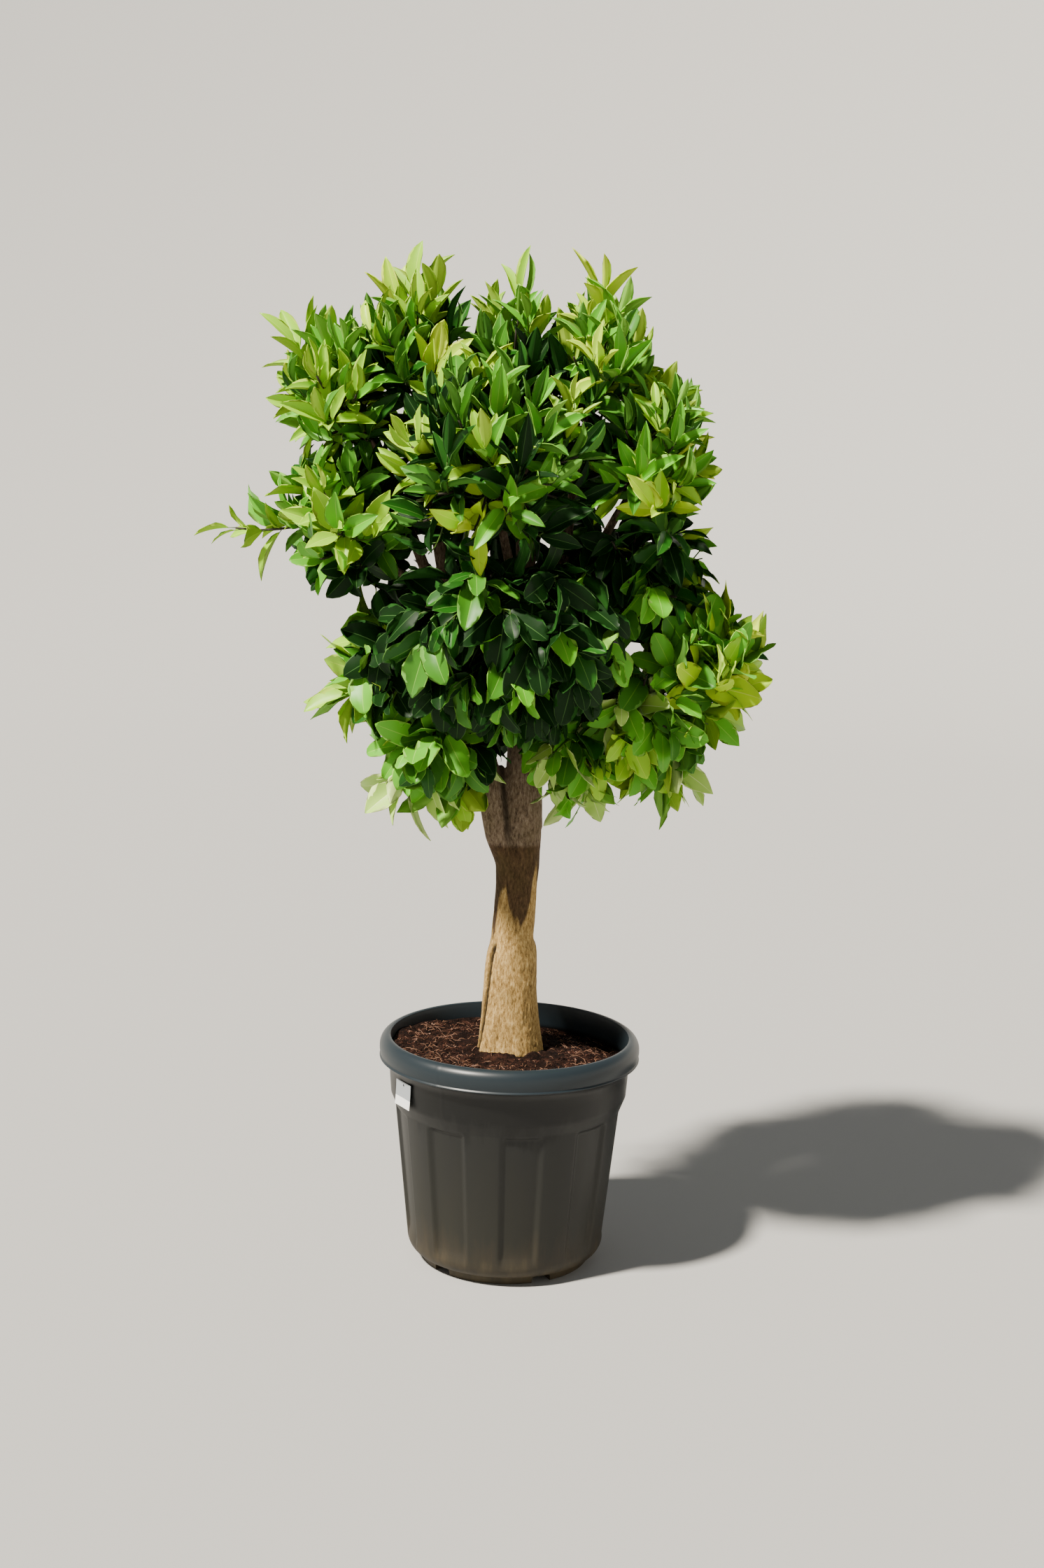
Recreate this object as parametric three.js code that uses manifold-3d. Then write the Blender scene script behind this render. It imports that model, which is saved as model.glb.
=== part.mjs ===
// A lemon tree on a clear stem, growing in a round injection-moulded nursery pot.
// Millimetres, +Z up. The origin is the centre of the pot's flat underside, and -Y is the front.

import * as THREE from 'three';
import { mergeVertices } from 'three/addons/utils/BufferGeometryUtils.js';
import Module from 'manifold-3d';

const wasm = await Module();
wasm.setup();

// Driving dimensions
const seat = 0.3; // gap between pieces that rest on or grow out of each other
const rimRadius = 230;
const potHeight = 407;
const wall = 3;
const bodyTopRadius = 200.5;
const bodyFootRadius = 175.5;
const collarRadius = 210;
const footRadius = 150;
const panelPairs = 9;
const fluteDepth = 6;
const notchCount = 5;
const soilLevel = 383;
const forkHeight = 800;

const up = new THREE.Vector3(0, 0, 1);
const vec = (list) => new THREE.Vector3(...list);
const smooth = THREE.MathUtils.smoothstep;
const radians = THREE.MathUtils.degToRad;

// Solids: a closed mesh goes into the boolean library and comes back as a geometry.

function geometryOf(positions, index) {
  const geometry = new THREE.BufferGeometry();
  geometry.setAttribute('position', new THREE.Float32BufferAttribute(positions, 3));
  geometry.setIndex(Array.from(index));
  return geometry;
}

function solidOf(geometry) {
  const bare = geometry.clone();
  bare.deleteAttribute('normal');
  bare.deleteAttribute('uv');
  const merged = mergeVertices(bare);
  const kept = [];
  const index = merged.index.array;
  for (let i = 0; i < index.length; i += 3) {
    const corners = index.slice(i, i + 3);
    if (new Set(corners).size === 3) kept.push(...corners);
  }
  const mesh = new wasm.Mesh({
    numProp: 3,
    vertProperties: new Float32Array(merged.attributes.position.array),
    triVerts: new Uint32Array(kept),
  });
  return new wasm.Manifold(mesh);
}

// The one outer body of a solid: sealed hollows are filled and loose scraps are dropped.
function wholeBody(solid) {
  const bodies = solid.decompose();
  bodies.sort((a, b) => b.volume() - a.volume());
  return bodies[0];
}

function piece(name, solid, colour, roughness) {
  const mesh = solid.getMesh();
  const geometry = geometryOf(mesh.vertProperties, mesh.triVerts);
  geometry.computeVertexNormals();
  const material = new THREE.MeshStandardMaterial({ color: colour, roughness, metalness: 0 });
  const made = new THREE.Mesh(geometry, material);
  made.name = name;
  return made;
}

// A closed skin over a row of rings with equally many points, with a flat fan over each end.
function skin(rings) {
  const count = rings[0].length;
  const top = (rings.length - 1) * count;
  const index = [];
  for (let row = 0; row < rings.length - 1; row++) {
    for (let i = 0; i < count; i++) {
      const a = row * count + i;
      const b = row * count + ((i + 1) % count);
      index.push(a, b, b + count, a, b + count, a + count);
    }
  }
  for (let i = 1; i < count - 1; i++) {
    index.push(0, i + 1, i);
    index.push(top, top + i, top + i + 1);
  }
  return geometryOf(rings.flat().flatMap((p) => [p.x, p.y, p.z]), index);
}

// The pot: a lathe-turned wall whose body is pressed in over every second panel.

const ledgeHeight = 15;
const fluteFoot = 44;
const fluteFull = 58;
const fluteTop = 276;
const bodyTop = 284;
const collarFoot = 306;
const collarTop = 354;
const rollFoot = 369;
const floorHeight = 16;
const anglesPerPair = 6; // two wide faces on each panel and one narrow step between panels
const pairAngle = 360 / panelPairs;
const stepAngle = 2.5;
const faceAngle = (pairAngle / 2 - stepAngle) / 2;
const firstPanelAngle = -2; // where a recessed panel starts, from the front towards the right

function bodyRadius(height) {
  const share = (height - fluteFoot) / (bodyTop - fluteFoot);
  return THREE.MathUtils.lerp(bodyFootRadius, bodyTopRadius, share);
}

function potProfile() {
  const points = [];
  const add = (radius, height) => points.push(new THREE.Vector2(radius, height));
  add(0, 0);
  add(footRadius - 1, 0);
  add(footRadius + 2, ledgeHeight - 2);
  // the rounded lower edge of the body, from the ledge over the foot
  const round = { x: 160, y: ledgeHeight };
  for (const turn of [-90, -60, -30]) {
    const across = (bodyFootRadius - round.x) * Math.cos(radians(turn));
    const rise = (fluteFoot - round.y) * (1 + Math.sin(radians(turn)));
    add(round.x + across, round.y + rise);
  }
  add(bodyFootRadius, fluteFoot);
  add(bodyRadius(fluteFull), fluteFull);
  add(bodyRadius(fluteTop), fluteTop);
  add(bodyTopRadius, bodyTop);
  add(collarRadius - 1, collarFoot);
  add(collarRadius + 2, collarTop);
  // the rolled rim
  add(rimRadius - 8, rollFoot - 2);
  add(rimRadius - 1, rollFoot);
  add(rimRadius, rollFoot + 12);
  add(rimRadius - 2, potHeight - 13);
  add(rimRadius - 7, potHeight - 4);
  add(rimRadius - 13, potHeight);
  add(rimRadius - 18, potHeight - 2);
  add(collarRadius - 1, potHeight - 8);
  // the inner wall and floor
  add(collarRadius - wall, collarTop);
  add(collarRadius - 1 - wall, collarFoot);
  add(bodyTopRadius - wall, bodyTop);
  add(bodyRadius(fluteTop) - wall, fluteTop);
  add(bodyRadius(fluteFull) - wall, fluteFull);
  add(bodyFootRadius - wall, fluteFoot);
  add(round.x - 2 * wall, floorHeight);
  add(0, floorHeight);
  return points;
}

function makePot() {
  const facets = panelPairs * anglesPerPair;
  const geometry = new THREE.LatheGeometry(potProfile(), facets);
  geometry.rotateX(Math.PI / 2);
  const place = geometry.attributes.position;
  const faceStarts = [0, faceAngle, 2 * faceAngle];
  for (let i = 0; i < place.count; i++) {
    const radius = Math.hypot(place.getX(i), place.getY(i));
    const turn = Math.atan2(place.getX(i), -place.getY(i)) / (2 * Math.PI);
    const ring = (Math.round(turn * facets) + facets) % facets;
    const inPair = ring % anglesPerPair;
    const recessed = inPair < 3;
    const halfTurn = recessed ? 0 : pairAngle / 2;
    const angle = Math.floor(ring / anglesPerPair) * pairAngle + halfTurn + faceStarts[inPair % 3];
    const turned = radians(angle + firstPanelAngle + stepAngle);
    const height = place.getZ(i);
    const fluted = recessed && height > fluteFoot + 1 && height < bodyTop - 1 && radius > footRadius;
    const shown = fluted ? radius - fluteDepth : radius;
    place.setXY(i, shown * Math.sin(turned), -shown * Math.cos(turned));
  }
  // drainage notches, open at the side and below
  const notchWidth = 36;
  const notchHeight = 13;
  const corner = 6;
  const slot = new THREE.Shape();
  slot.moveTo(-notchWidth / 2, -notchHeight);
  slot.lineTo(notchWidth / 2, -notchHeight);
  slot.lineTo(notchWidth / 2, notchHeight - corner);
  slot.lineTo(notchWidth / 2 - corner, notchHeight);
  slot.lineTo(corner - notchWidth / 2, notchHeight);
  slot.lineTo(-notchWidth / 2, notchHeight - corner);
  slot.closePath();
  let pot = solidOf(geometry);
  const notchDepth = 30;
  const firstNotchAngle = 26;
  for (let i = 0; i < notchCount; i++) {
    const cutter = new THREE.ExtrudeGeometry(slot, { depth: 2 * notchDepth, bevelEnabled: false });
    cutter.rotateX(Math.PI / 2);
    cutter.translate(0, notchDepth - footRadius, 0);
    cutter.rotateZ(radians(firstNotchAngle + i * 360 / notchCount));
    pot = pot.subtract(solidOf(cutter));
  }
  return piece('pot', wholeBody(pot), '#45464a', 0.55);
}

// The soil: it fills the pot from the floor up, mounded round the trunk and sunk at the back right.

function soilHeight(x, y) {
  const away = smooth(Math.hypot(x, y), 78, 200);
  const lean = -0.055 * x - 0.05 * y - 10 * smooth(x + 0.6 * y, 60, 220);
  const lumps = 3 * Math.sin(x / 23 + 1.3) * Math.cos(y / 19 - 0.4);
  return soilLevel + away * (lean + lumps);
}

function makeSoil() {
  const sides = 30;
  const ring = (radius, height) => {
    const points = [];
    for (let i = 0; i < sides; i++) {
      const angle = 2 * Math.PI * i / sides;
      const x = radius * Math.cos(angle);
      const y = radius * Math.sin(angle);
      points.push(new THREE.Vector3(x, y, height === undefined ? soilHeight(x, y) : height));
    }
    return points;
  };
  const floorRadius = 148;
  const bodySoilRadius = bodyTopRadius - wall - fluteDepth - 2;
  const edgeRadius = collarRadius - wall - 2;
  const rings = [ring(floorRadius, floorHeight + seat), ring(bodyFootRadius - 15, fluteFoot + 4)];
  rings.push(ring(bodySoilRadius, fluteTop), ring(edgeRadius - 4, collarFoot + 4));
  for (const radius of [edgeRadius, 165, 125, 78]) rings.push(ring(radius));
  return piece('soil', solidOf(skin(rings)), '#4a2c1c', 0.95);
}

// The tag: a blank plastic label that hangs flat against the collar, under the rim.

function makeTag() {
  const width = 50;
  const height = 44;
  const thickness = 0.8;
  const corner = 3;
  const outline = new THREE.Shape();
  outline.moveTo(-width / 2, 0);
  outline.lineTo(width / 2, 0);
  outline.lineTo(width / 2, height - corner);
  outline.lineTo(width / 2 - corner, height);
  outline.lineTo(corner - width / 2, height);
  outline.lineTo(-width / 2, height - corner);
  outline.closePath();
  const hole = new THREE.Path();
  hole.absarc(0, height - 6, 2.5, 0, 2 * Math.PI, true);
  outline.holes.push(hole);
  const settings = { depth: thickness, bevelEnabled: false, curveSegments: 6 };
  const plate = new THREE.ExtrudeGeometry(outline, settings);
  plate.rotateX(Math.PI / 2);
  plate.translate(0, -(collarRadius + 2 + seat), collarTop - height - 5);
  plate.rotateZ(radians(-58));
  return piece('tag', solidOf(plate), '#c9ccce', 0.5);
}

// The trunk: stacked level rings, with root toes, a swelling at the old graft, a slim waist
// and two lobes at the fork.

const forkLobes = [
  { x: -30, y: 0, radius: 25 },
  { x: 14, y: 0, radius: 32 },
];
const trunkSizes = [
  { height: soilLevel + seat, x: 1, radius: 57 },
  { height: 404, x: 1, radius: 54 },
  { height: 430, x: -1, radius: 51 },
  { height: 475, x: -2, radius: 48 },
  { height: 530, x: -1, radius: 45.5 },
  { height: 556, x: 0, radius: 43.8 },
  { height: 569, x: 1, radius: 41 },
  { height: 583, x: 0, radius: 37 },
  { height: 632, x: 3, radius: 36.2 },
  { height: 683, x: 5, radius: 36.2 },
  { height: 712, x: 6, radius: 38 },
  { height: 735, x: 3, radius: 41 },
  { height: 765, x: 0, radius: 46 },
  { height: forkHeight, x: -5, radius: 50 },
];

function lobeReach(centre, angle) {
  const ray = new THREE.Vector2(Math.cos(angle), Math.sin(angle));
  let reach = 0;
  for (const lobe of forkLobes) {
    const toLobe = new THREE.Vector2(lobe.x - centre, lobe.y);
    const along = toLobe.dot(ray);
    const inside = lobe.radius ** 2 - toLobe.lengthSq() + along ** 2;
    if (inside > 0) reach = Math.max(reach, along + Math.sqrt(inside));
  }
  return reach;
}

function trunkRings(extra) {
  const sides = 16;
  return trunkSizes.map((size) => {
    const points = [];
    const flare = 1 - smooth(size.height, soilLevel, 470);
    const fold = 1 - smooth(size.height, 470, 575);
    const forked = smooth(size.height, 715, forkHeight);
    for (let i = 0; i < sides; i++) {
      const angle = 2 * Math.PI * (i + 0.5) / sides;
      const toes = flare * (3.5 * Math.cos(3 * angle + 1.6) + 2 * Math.cos(5 * angle));
      const foldAngle = Math.abs(Math.atan2(Math.sin(angle - 3.9), Math.cos(angle - 3.9)));
      const groove = -5 * fold * (1 - smooth(foldAngle, 0, 0.5));
      const round = size.radius * (1 - 0.1 * Math.sin(angle) ** 2);
      const shown = THREE.MathUtils.lerp(round, lobeReach(size.x, angle), forked);
      const reach = shown + toes + groove + extra;
      const x = size.x + reach * Math.cos(angle);
      points.push(new THREE.Vector3(x, reach * Math.sin(angle), size.height));
    }
    return points;
  });
}

function makeTrunkSolid(extra) {
  const rings = trunkRings(extra);
  rings[rings.length - 1].forEach((point) => { point.z += extra; });
  return solidOf(skin(rings));
}

// Boughs: each is a tapering limb along a curve that leaves its parent and ends in its mass.
// From where it starts, "leave" and "arrive" are its directions at its ends.

const boughs = {};

function limbFrame(tangent, chord) {
  const sideways = Math.abs(chord.y) > 0.75 ? new THREE.Vector3(1, 0, 0) : new THREE.Vector3(0, 1, 0);
  const side = sideways.cross(tangent).normalize();
  return { side, normal: tangent.clone().cross(side) };
}

function limbRings(curve, startRadius, endRadius, steps, sides) {
  const chord = curve.getPoint(1).sub(curve.getPoint(0)).normalize();
  const rings = [];
  for (let step = 0; step <= steps; step++) {
    const share = step / steps;
    const centre = curve.getPoint(share);
    const frame = limbFrame(curve.getTangent(share), chord);
    const radius = THREE.MathUtils.lerp(startRadius, endRadius, share);
    const ring = [];
    for (let i = 0; i < sides; i++) {
      const angle = 2 * Math.PI * i / sides;
      const point = centre.clone().addScaledVector(frame.side, radius * Math.cos(angle));
      ring.push(point.addScaledVector(frame.normal, radius * Math.sin(angle)));
    }
    rings.push(ring);
  }
  return rings;
}

// A curve with given directions at its ends: the handles are a share of the straight distance.
function bend(start, leave, end, arrive, handle = 0.36) {
  const reach = start.distanceTo(end) * handle;
  const first = start.clone().addScaledVector(leave.clone().normalize(), reach);
  const second = end.clone().addScaledVector(arrive.clone().normalize(), -reach);
  return new THREE.CubicBezierCurve3(start, first, second, end);
}

function addBough(name, parent, share, tip, radii, leave, arrive) {
  const start = Array.isArray(share) ? vec(share) : boughs[parent].curve.getPoint(share);
  const curve = bend(start, vec(leave), vec(tip), vec(arrive));
  const steps = Math.max(3, Math.round(curve.getLength() / 100));
  boughs[name] = { curve, radii, steps, parent };
}

function boughSolid(name, extra) {
  const { curve, radii, steps } = boughs[name];
  const rings = limbRings(curve, radii[0] + extra, radii[1] + extra, steps, 6);
  const endShift = curve.getTangent(1).multiplyScalar(extra);
  rings[rings.length - 1].forEach((point) => point.add(endShift));
  return solidOf(skin(rings));
}

const forkSink = forkHeight - 20; // the two lobes' boughs start inside the trunk and are cut by it
addBough('left', 'trunk', [-29, 0, forkSink], [-168, 0, 1430], [25, 9], [-0.2, 0, 1], [-0.15, 0, 1]);
addBough('right', 'trunk', [14, 0, forkSink], [-8, 10, 1440], [31, 10], [0, 0, 1], [-0.1, 0, 1]);
addBough('left_upper', 'left', 0.5, [-262, 0, 1440], [12, 6], [-0.6, 0, 1], [-0.6, 0, 1]);
addBough('left_middle', 'left', 0.36, [-232, -10, 1235], [11, 6], [-0.8, -0.1, 1], [-1, 0, 0.5]);
addBough('left_lower', 'left', 0.2, [-165, -10, 1035], [10, 5], [-1, -0.2, 0.9], [-1, 0, 0.2]);
addBough('bottom_left', 'left', 0.12, [-108, -60, 925], [8, 4.5], [-0.8, -1, 0.6], [-0.8, -0.5, -0.1]);
addBough('top_right', 'right', 0.44, [98, 0, 1450], [13, 7], [0.6, 0, 1], [0.2, 0, 1]);
addBough('right_upper', 'right', 0.36, [165, -10, 1335], [13, 7], [0.9, 0, 1], [0.6, 0, 1]);
addBough('right_middle', 'right', 0.29, [150, 20, 1185], [11, 6], [1, 0.2, 0.9], [1, 0, 0.6]);
addBough('right_outer', 'right', 0.22, [232, -40, 1030], [10, 5], [1, -0.2, 0.7], [1, -0.1, 0.2]);
addBough('right_hanging', 'right', 0.15, [170, -50, 950], [8, 4.5], [1, -0.5, 0.6], [1, -0.2, 0]);
addBough('bottom_right', 'right', 0.09, [92, -55, 915], [8, 4.5], [0.6, -1, 0.6], [0.8, -0.5, 0]);
addBough('front_upper', 'right', 0.52, [-40, -125, 1370], [11, 6], [-0.2, -1, 1], [0, -0.7, 1]);
addBough('front_lower', 'right', 0.25, [-20, -120, 1120], [11, 6], [-0.1, -1, 0.9], [0, -1, 0.5]);
addBough('back_upper', 'left', 0.52, [-70, 130, 1370], [11, 6], [0.2, 1, 1], [0, 0.7, 1]);
addBough('back_lower', 'left', 0.27, [-50, 120, 1120], [11, 6], [0.1, 1, 0.9], [0, 1, 0.5]);

function makeBoughs(trunkShape) {
  const made = [];
  for (const [name, bough] of Object.entries(boughs)) {
    let solid = boughSolid(name, 0);
    const parentShape = bough.parent === 'trunk' ? trunkShape : boughSolid(bough.parent, seat);
    solid = solid.subtract(parentShape);
    if (name === 'right') solid = solid.subtract(boughSolid('left', seat));
    if (bough.parent !== 'trunk') solid = solid.subtract(trunkShape);
    made.push(piece(`bough_${name}`, wholeBody(solid), '#7d654a', 0.85));
  }
  return made;
}

// Masses of foliage: each has its own space, a cell between its neighbours' cells. From the
// bough's tip one stem grows to the heart of the mass, shoots fan out from it and leaves stand
// in a spiral on each shoot. The leaf tips end at the mass's reach, or at its leaders. As the
// crown is dense, a smaller core round the heart stands for the shaded twigs and leaves inside,
// and more leaves stand out of it between the shoots.

const young = '#8db827';
const grown = '#5c9420';
const shaded = '#3a7520';
const masses = {
  left: {
    heart: [-185, -10, 1560], reach: [140, 200, 190], lift: 0.9, tint: young,
    leaders: [[-192, -40, 1770], [-239, -20, 1742], [-146, -50, 1754]],
  },
  right: {
    heart: [-25, 0, 1555], reach: [120, 200, 190], lift: 0.9, tint: young,
    leaders: [[-5, -30, 1766], [-66, -20, 1709], [35, -60, 1690]],
  },
  top_right: {
    heart: [115, -10, 1545], reach: [125, 200, 165], lift: 0.8, tint: young,
    leaders: [[131, -30, 1774], [172, -50, 1720]],
  },
  left_upper: {
    heart: [-310, -10, 1500], reach: [130, 220, 180], lift: 0.7, tint: young,
    leaders: [[-436, -40, 1655], [-376, -20, 1672], [-430, -60, 1506]],
  },
  left_middle: {
    heart: [-290, -10, 1315], reach: [140, 230, 165], lift: 0.35, tint: grown,
    leaders: [[-572, -40, 1289], [-470, -50, 1335], [-432, -30, 1383]],
  },
  left_lower: {
    heart: [-205, -10, 1075], reach: [145, 210, 160], lift: 0.2, tint: shaded,
    leaders: [[-368, -40, 985], [-332, -60, 1042], [-326, -20, 1186]],
  },
  bottom_left: {
    heart: [-130, -60, 935], reach: [135, 165, 115], lift: -0.2, tint: shaded,
    leaders: [[-258, -90, 798], [-166, -100, 806], [-80, -70, 770]],
  },
  bottom_right: {
    heart: [95, -60, 935], reach: [120, 165, 110], lift: -0.15, tint: shaded,
    leaders: [[150, -90, 812], [80, -110, 818]],
  },
  right_hanging: {
    heart: [215, -60, 1000], reach: [135, 150, 155], lift: -0.2, tint: grown,
    leaders: [[334, -85, 842], [283, -60, 812], [268, -110, 1080]],
  },
  right_outer: {
    heart: [305, -45, 1085], reach: [135, 155, 125], lift: 0.6, tint: grown,
    leaders: [[440, -60, 1106], [414, -80, 1170], [380, -70, 946]],
  },
  right_middle: {
    heart: [195, 0, 1240], reach: [150, 220, 160], lift: 0.3, tint: grown,
    leaders: [[333, -20, 1206], [325, -40, 1290]],
  },
  right_upper: {
    heart: [205, -10, 1420], reach: [135, 220, 170], lift: 0.7, tint: young,
    leaders: [[248, -40, 1586], [300, -30, 1534], [338, -40, 1402]],
  },
  front_upper: { heart: [-50, -185, 1400], reach: [200, 165, 210], lift: 0.6, tint: grown, leaders: [] },
  front_lower: { heart: [-20, -185, 1140], reach: [230, 165, 200], lift: 0.1, tint: shaded, leaders: [] },
  back_upper: { heart: [-55, 185, 1400], reach: [220, 165, 210], lift: 0.6, tint: grown, leaders: [] },
  back_lower: { heart: [-35, 175, 1100], reach: [240, 175, 230], lift: 0.1, tint: shaded, leaders: [] },
};

const crownHeart = new THREE.Vector3(-52, 0, 1280);
const shadedReach = new THREE.Vector3(275, 240, 345); // of the shaded inside of the crown
const shootSpacing = 235;
const leafSpacing = 109; // of the leaves that stand out of a core
const leafSlant = 0.9; // how far such a leaf leans away from straight out
const leafSink = 10; // how far the root of such a leaf is sunk in the core
const leafReach = 1.08; // where leaf tips end, as a share of the mass's reach
const leavesPerShoot = 4;
const leafStalk = 16; // how far out of its root a leaf first keeps clear of the others
const leafLength = 122;
const leafWidth = 62;
const leafThickness = 2.6;
const leafRoot = 1.6; // how far a leaf's root is sunk past the shoot's axis
const twigRadius = 4;
const twigTipRadius = 2.6;
const coreShare = 0.42; // of the mass's reach, for a core outside the shaded inside
const cellMargin = 1; // from the edge of the mass's space
const limbMargin = 1.5; // from the trunk and boughs
const spiral = radians(137.5);

for (const mass of Object.values(masses)) {
  mass.heart = vec(mass.heart);
  mass.reach = vec(mass.reach);
  mass.leaders = mass.leaders.map(vec);
  mass.weight = ((mass.reach.x + mass.reach.y + mass.reach.z) / 3) ** 2;
}

// Whole-number draws between 0 and 1, the same on every run.
function draws(seed) {
  let state = seed;
  return () => {
    state = (state * 16807) % 2147483647;
    return state / 2147483647;
  };
}

function insideCell(name, point) {
  const own = masses[name];
  const ownPower = point.distanceToSquared(own.heart) - own.weight;
  return Object.entries(masses).every(([other, mass]) => {
    if (other === name) return true;
    const power = point.distanceToSquared(mass.heart) - mass.weight;
    return (power - ownPower) / (2 * own.heart.distanceTo(mass.heart)) > cellMargin;
  });
}

// The straight stretches of the trunk and boughs, which foliage keeps clear of.
const limbStretches = [];
for (let i = 0; i < trunkSizes.length - 1; i++) {
  const [low, high] = [trunkSizes[i], trunkSizes[i + 1]];
  const from = new THREE.Vector3(low.x, 0, low.height);
  const to = new THREE.Vector3(high.x, 0, high.height);
  const toeReach = 6;
  const radius = Math.max(low.radius, high.radius) + toeReach;
  limbStretches.push({ line: new THREE.Line3(from, to), radius });
}
for (const { curve, radii, steps } of Object.values(boughs)) {
  for (let step = 0; step < steps; step++) {
    const line = new THREE.Line3(curve.getPoint(step / steps), curve.getPoint((step + 1) / steps));
    limbStretches.push({ line, radius: THREE.MathUtils.lerp(radii[0], radii[1], step / steps) });
  }
}

function clearOfLimbs(start, end, halfWidth) {
  const samples = 6;
  const nearest = new THREE.Vector3();
  for (const { line, radius } of limbStretches) {
    for (let i = 0; i <= samples; i++) {
      const point = start.clone().lerp(end, i / samples);
      line.closestPointToPoint(point, true, nearest);
      if (nearest.distanceTo(point) < radius + halfWidth + limbMargin) return false;
    }
  }
  return true;
}

// How far a way out of the heart stays in the mass's space, as a share of the way to a tip.
function openShare(name, tip, stays) {
  const heart = masses[name].heart;
  let share = 0.1;
  while (share < 1 && stays(heart.clone().lerp(tip, share + 0.04), share + 0.04)) share += 0.04;
  return Math.min(share, 1);
}

function coreBall(name) {
  const mass = masses[name];
  const bare = new THREE.IcosahedronGeometry(1, 1).deleteAttribute('normal').deleteAttribute('uv');
  const ball = mergeVertices(bare);
  const place = ball.attributes.position;
  const stays = (point, share) => {
    const inShade = point.clone().sub(crownHeart).divide(shadedReach).length() < 1;
    return (inShade || share < coreShare) && insideCell(name, point) && clearOfLimbs(point, point, 8);
  };
  for (let i = 0; i < place.count; i++) {
    const corner = new THREE.Vector3().fromBufferAttribute(place, i);
    corner.multiply(mass.reach).add(mass.heart);
    const kept = mass.heart.clone().lerp(corner, openShare(name, corner, stays));
    place.setXYZ(i, kept.x, kept.y, kept.z);
  }
  return ball;
}

function clearedOfBoughs(solid) {
  return Object.keys(boughs).reduce((rest, bough) => rest.subtract(boughSolid(bough, seat)), solid);
}

// Where the way from a mass's heart to an end comes out of its core.
function coreExit(core, heart, end) {
  const inwards = heart.clone().sub(end).normalize();
  const hits = new THREE.Raycaster(end, inwards).intersectObject(core);
  return hits.length ? hits[0].point : null;
}

// A leaf of eight faces: folded up along its midrib, with its tip bent down.
function leafPoints(root, along, upward, length, width) {
  const side = upward.clone().cross(along).normalize();
  const normal = along.clone().cross(side).normalize();
  const at = (forward, sideways, raised) => root.clone().addScaledVector(along, forward)
    .addScaledVector(side, sideways).addScaledVector(normal, raised);
  const widest = length * 0.45;
  const fold = 0.14 * width;
  return [
    at(-leafRoot, 0, 0),
    at(length, 0, -0.1 * length),
    at(widest, width / 2, fold),
    at(widest, -width / 2, fold),
    at(widest, 0, leafThickness / 2),
    at(widest, 0, -leafThickness / 2),
  ];
}

const leafFaces = [0, 4, 2, 0, 3, 4, 4, 1, 2, 4, 3, 1, 0, 2, 5, 0, 5, 3, 5, 2, 1, 5, 1, 3];

function leafSolid(points) {
  return solidOf(geometryOf(points.flatMap((p) => [p.x, p.y, p.z]), leafFaces));
}

function twigSolid(curve, startRadius, endRadius, steps) {
  return solidOf(skin(limbRings(curve, startRadius, endRadius, steps, 3)));
}

// Ways out of the heart to the part of the mass's reach that its neighbours don't take.
function openEnds(name, leastOpen, random) {
  const mass = masses[name];
  const open = [];
  const ways = 80;
  for (let i = 0; i < ways; i++) {
    const height = 1 - 2 * (i + 0.5) / ways;
    const flat = Math.sqrt(1 - height ** 2);
    const way = new THREE.Vector3(flat * Math.cos(i * spiral), flat * Math.sin(i * spiral), height);
    const end = way.multiply(mass.reach).multiplyScalar(0.94 + 0.1 * random()).add(mass.heart);
    if (openShare(name, end, (point) => insideCell(name, point)) > leastOpen) open.push(end);
  }
  return { ends: open, area: 4 * Math.PI * mass.weight * open.length / ways };
}

function evenlyPicked(list, wanted) {
  const picked = [];
  for (let i = 0; i < wanted; i++) picked.push(list[Math.floor((i + 0.5) * list.length / wanted)]);
  return picked;
}

// A leaf that would leave the mass's space, pass its reach, cross another leaf or touch a limb
// is made smaller, or left out.
function fittedLeaf(name, solid, foot, along, upward, size, reachLimit) {
  const mass = masses[name];
  for (const share of [1, 0.85, 0.7]) {
    const length = leafLength * size * share;
    const width = leafWidth * size * share;
    const points = leafPoints(foot, along, upward, length, width);
    const past = points[1].clone().sub(mass.heart).divide(mass.reach).length();
    const inSpace = points.every((point) => insideCell(name, point));
    if (past > reachLimit || !inSpace || !clearOfLimbs(points[0], points[1], width / 2)) continue;
    const neck = points[0].clone().addScaledVector(along, leafStalk);
    const blade = [neck, ...points.slice(1)];
    if (solid.intersect(leafSolid(blade)).isEmpty()) return points;
  }
  return null;
}

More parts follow.
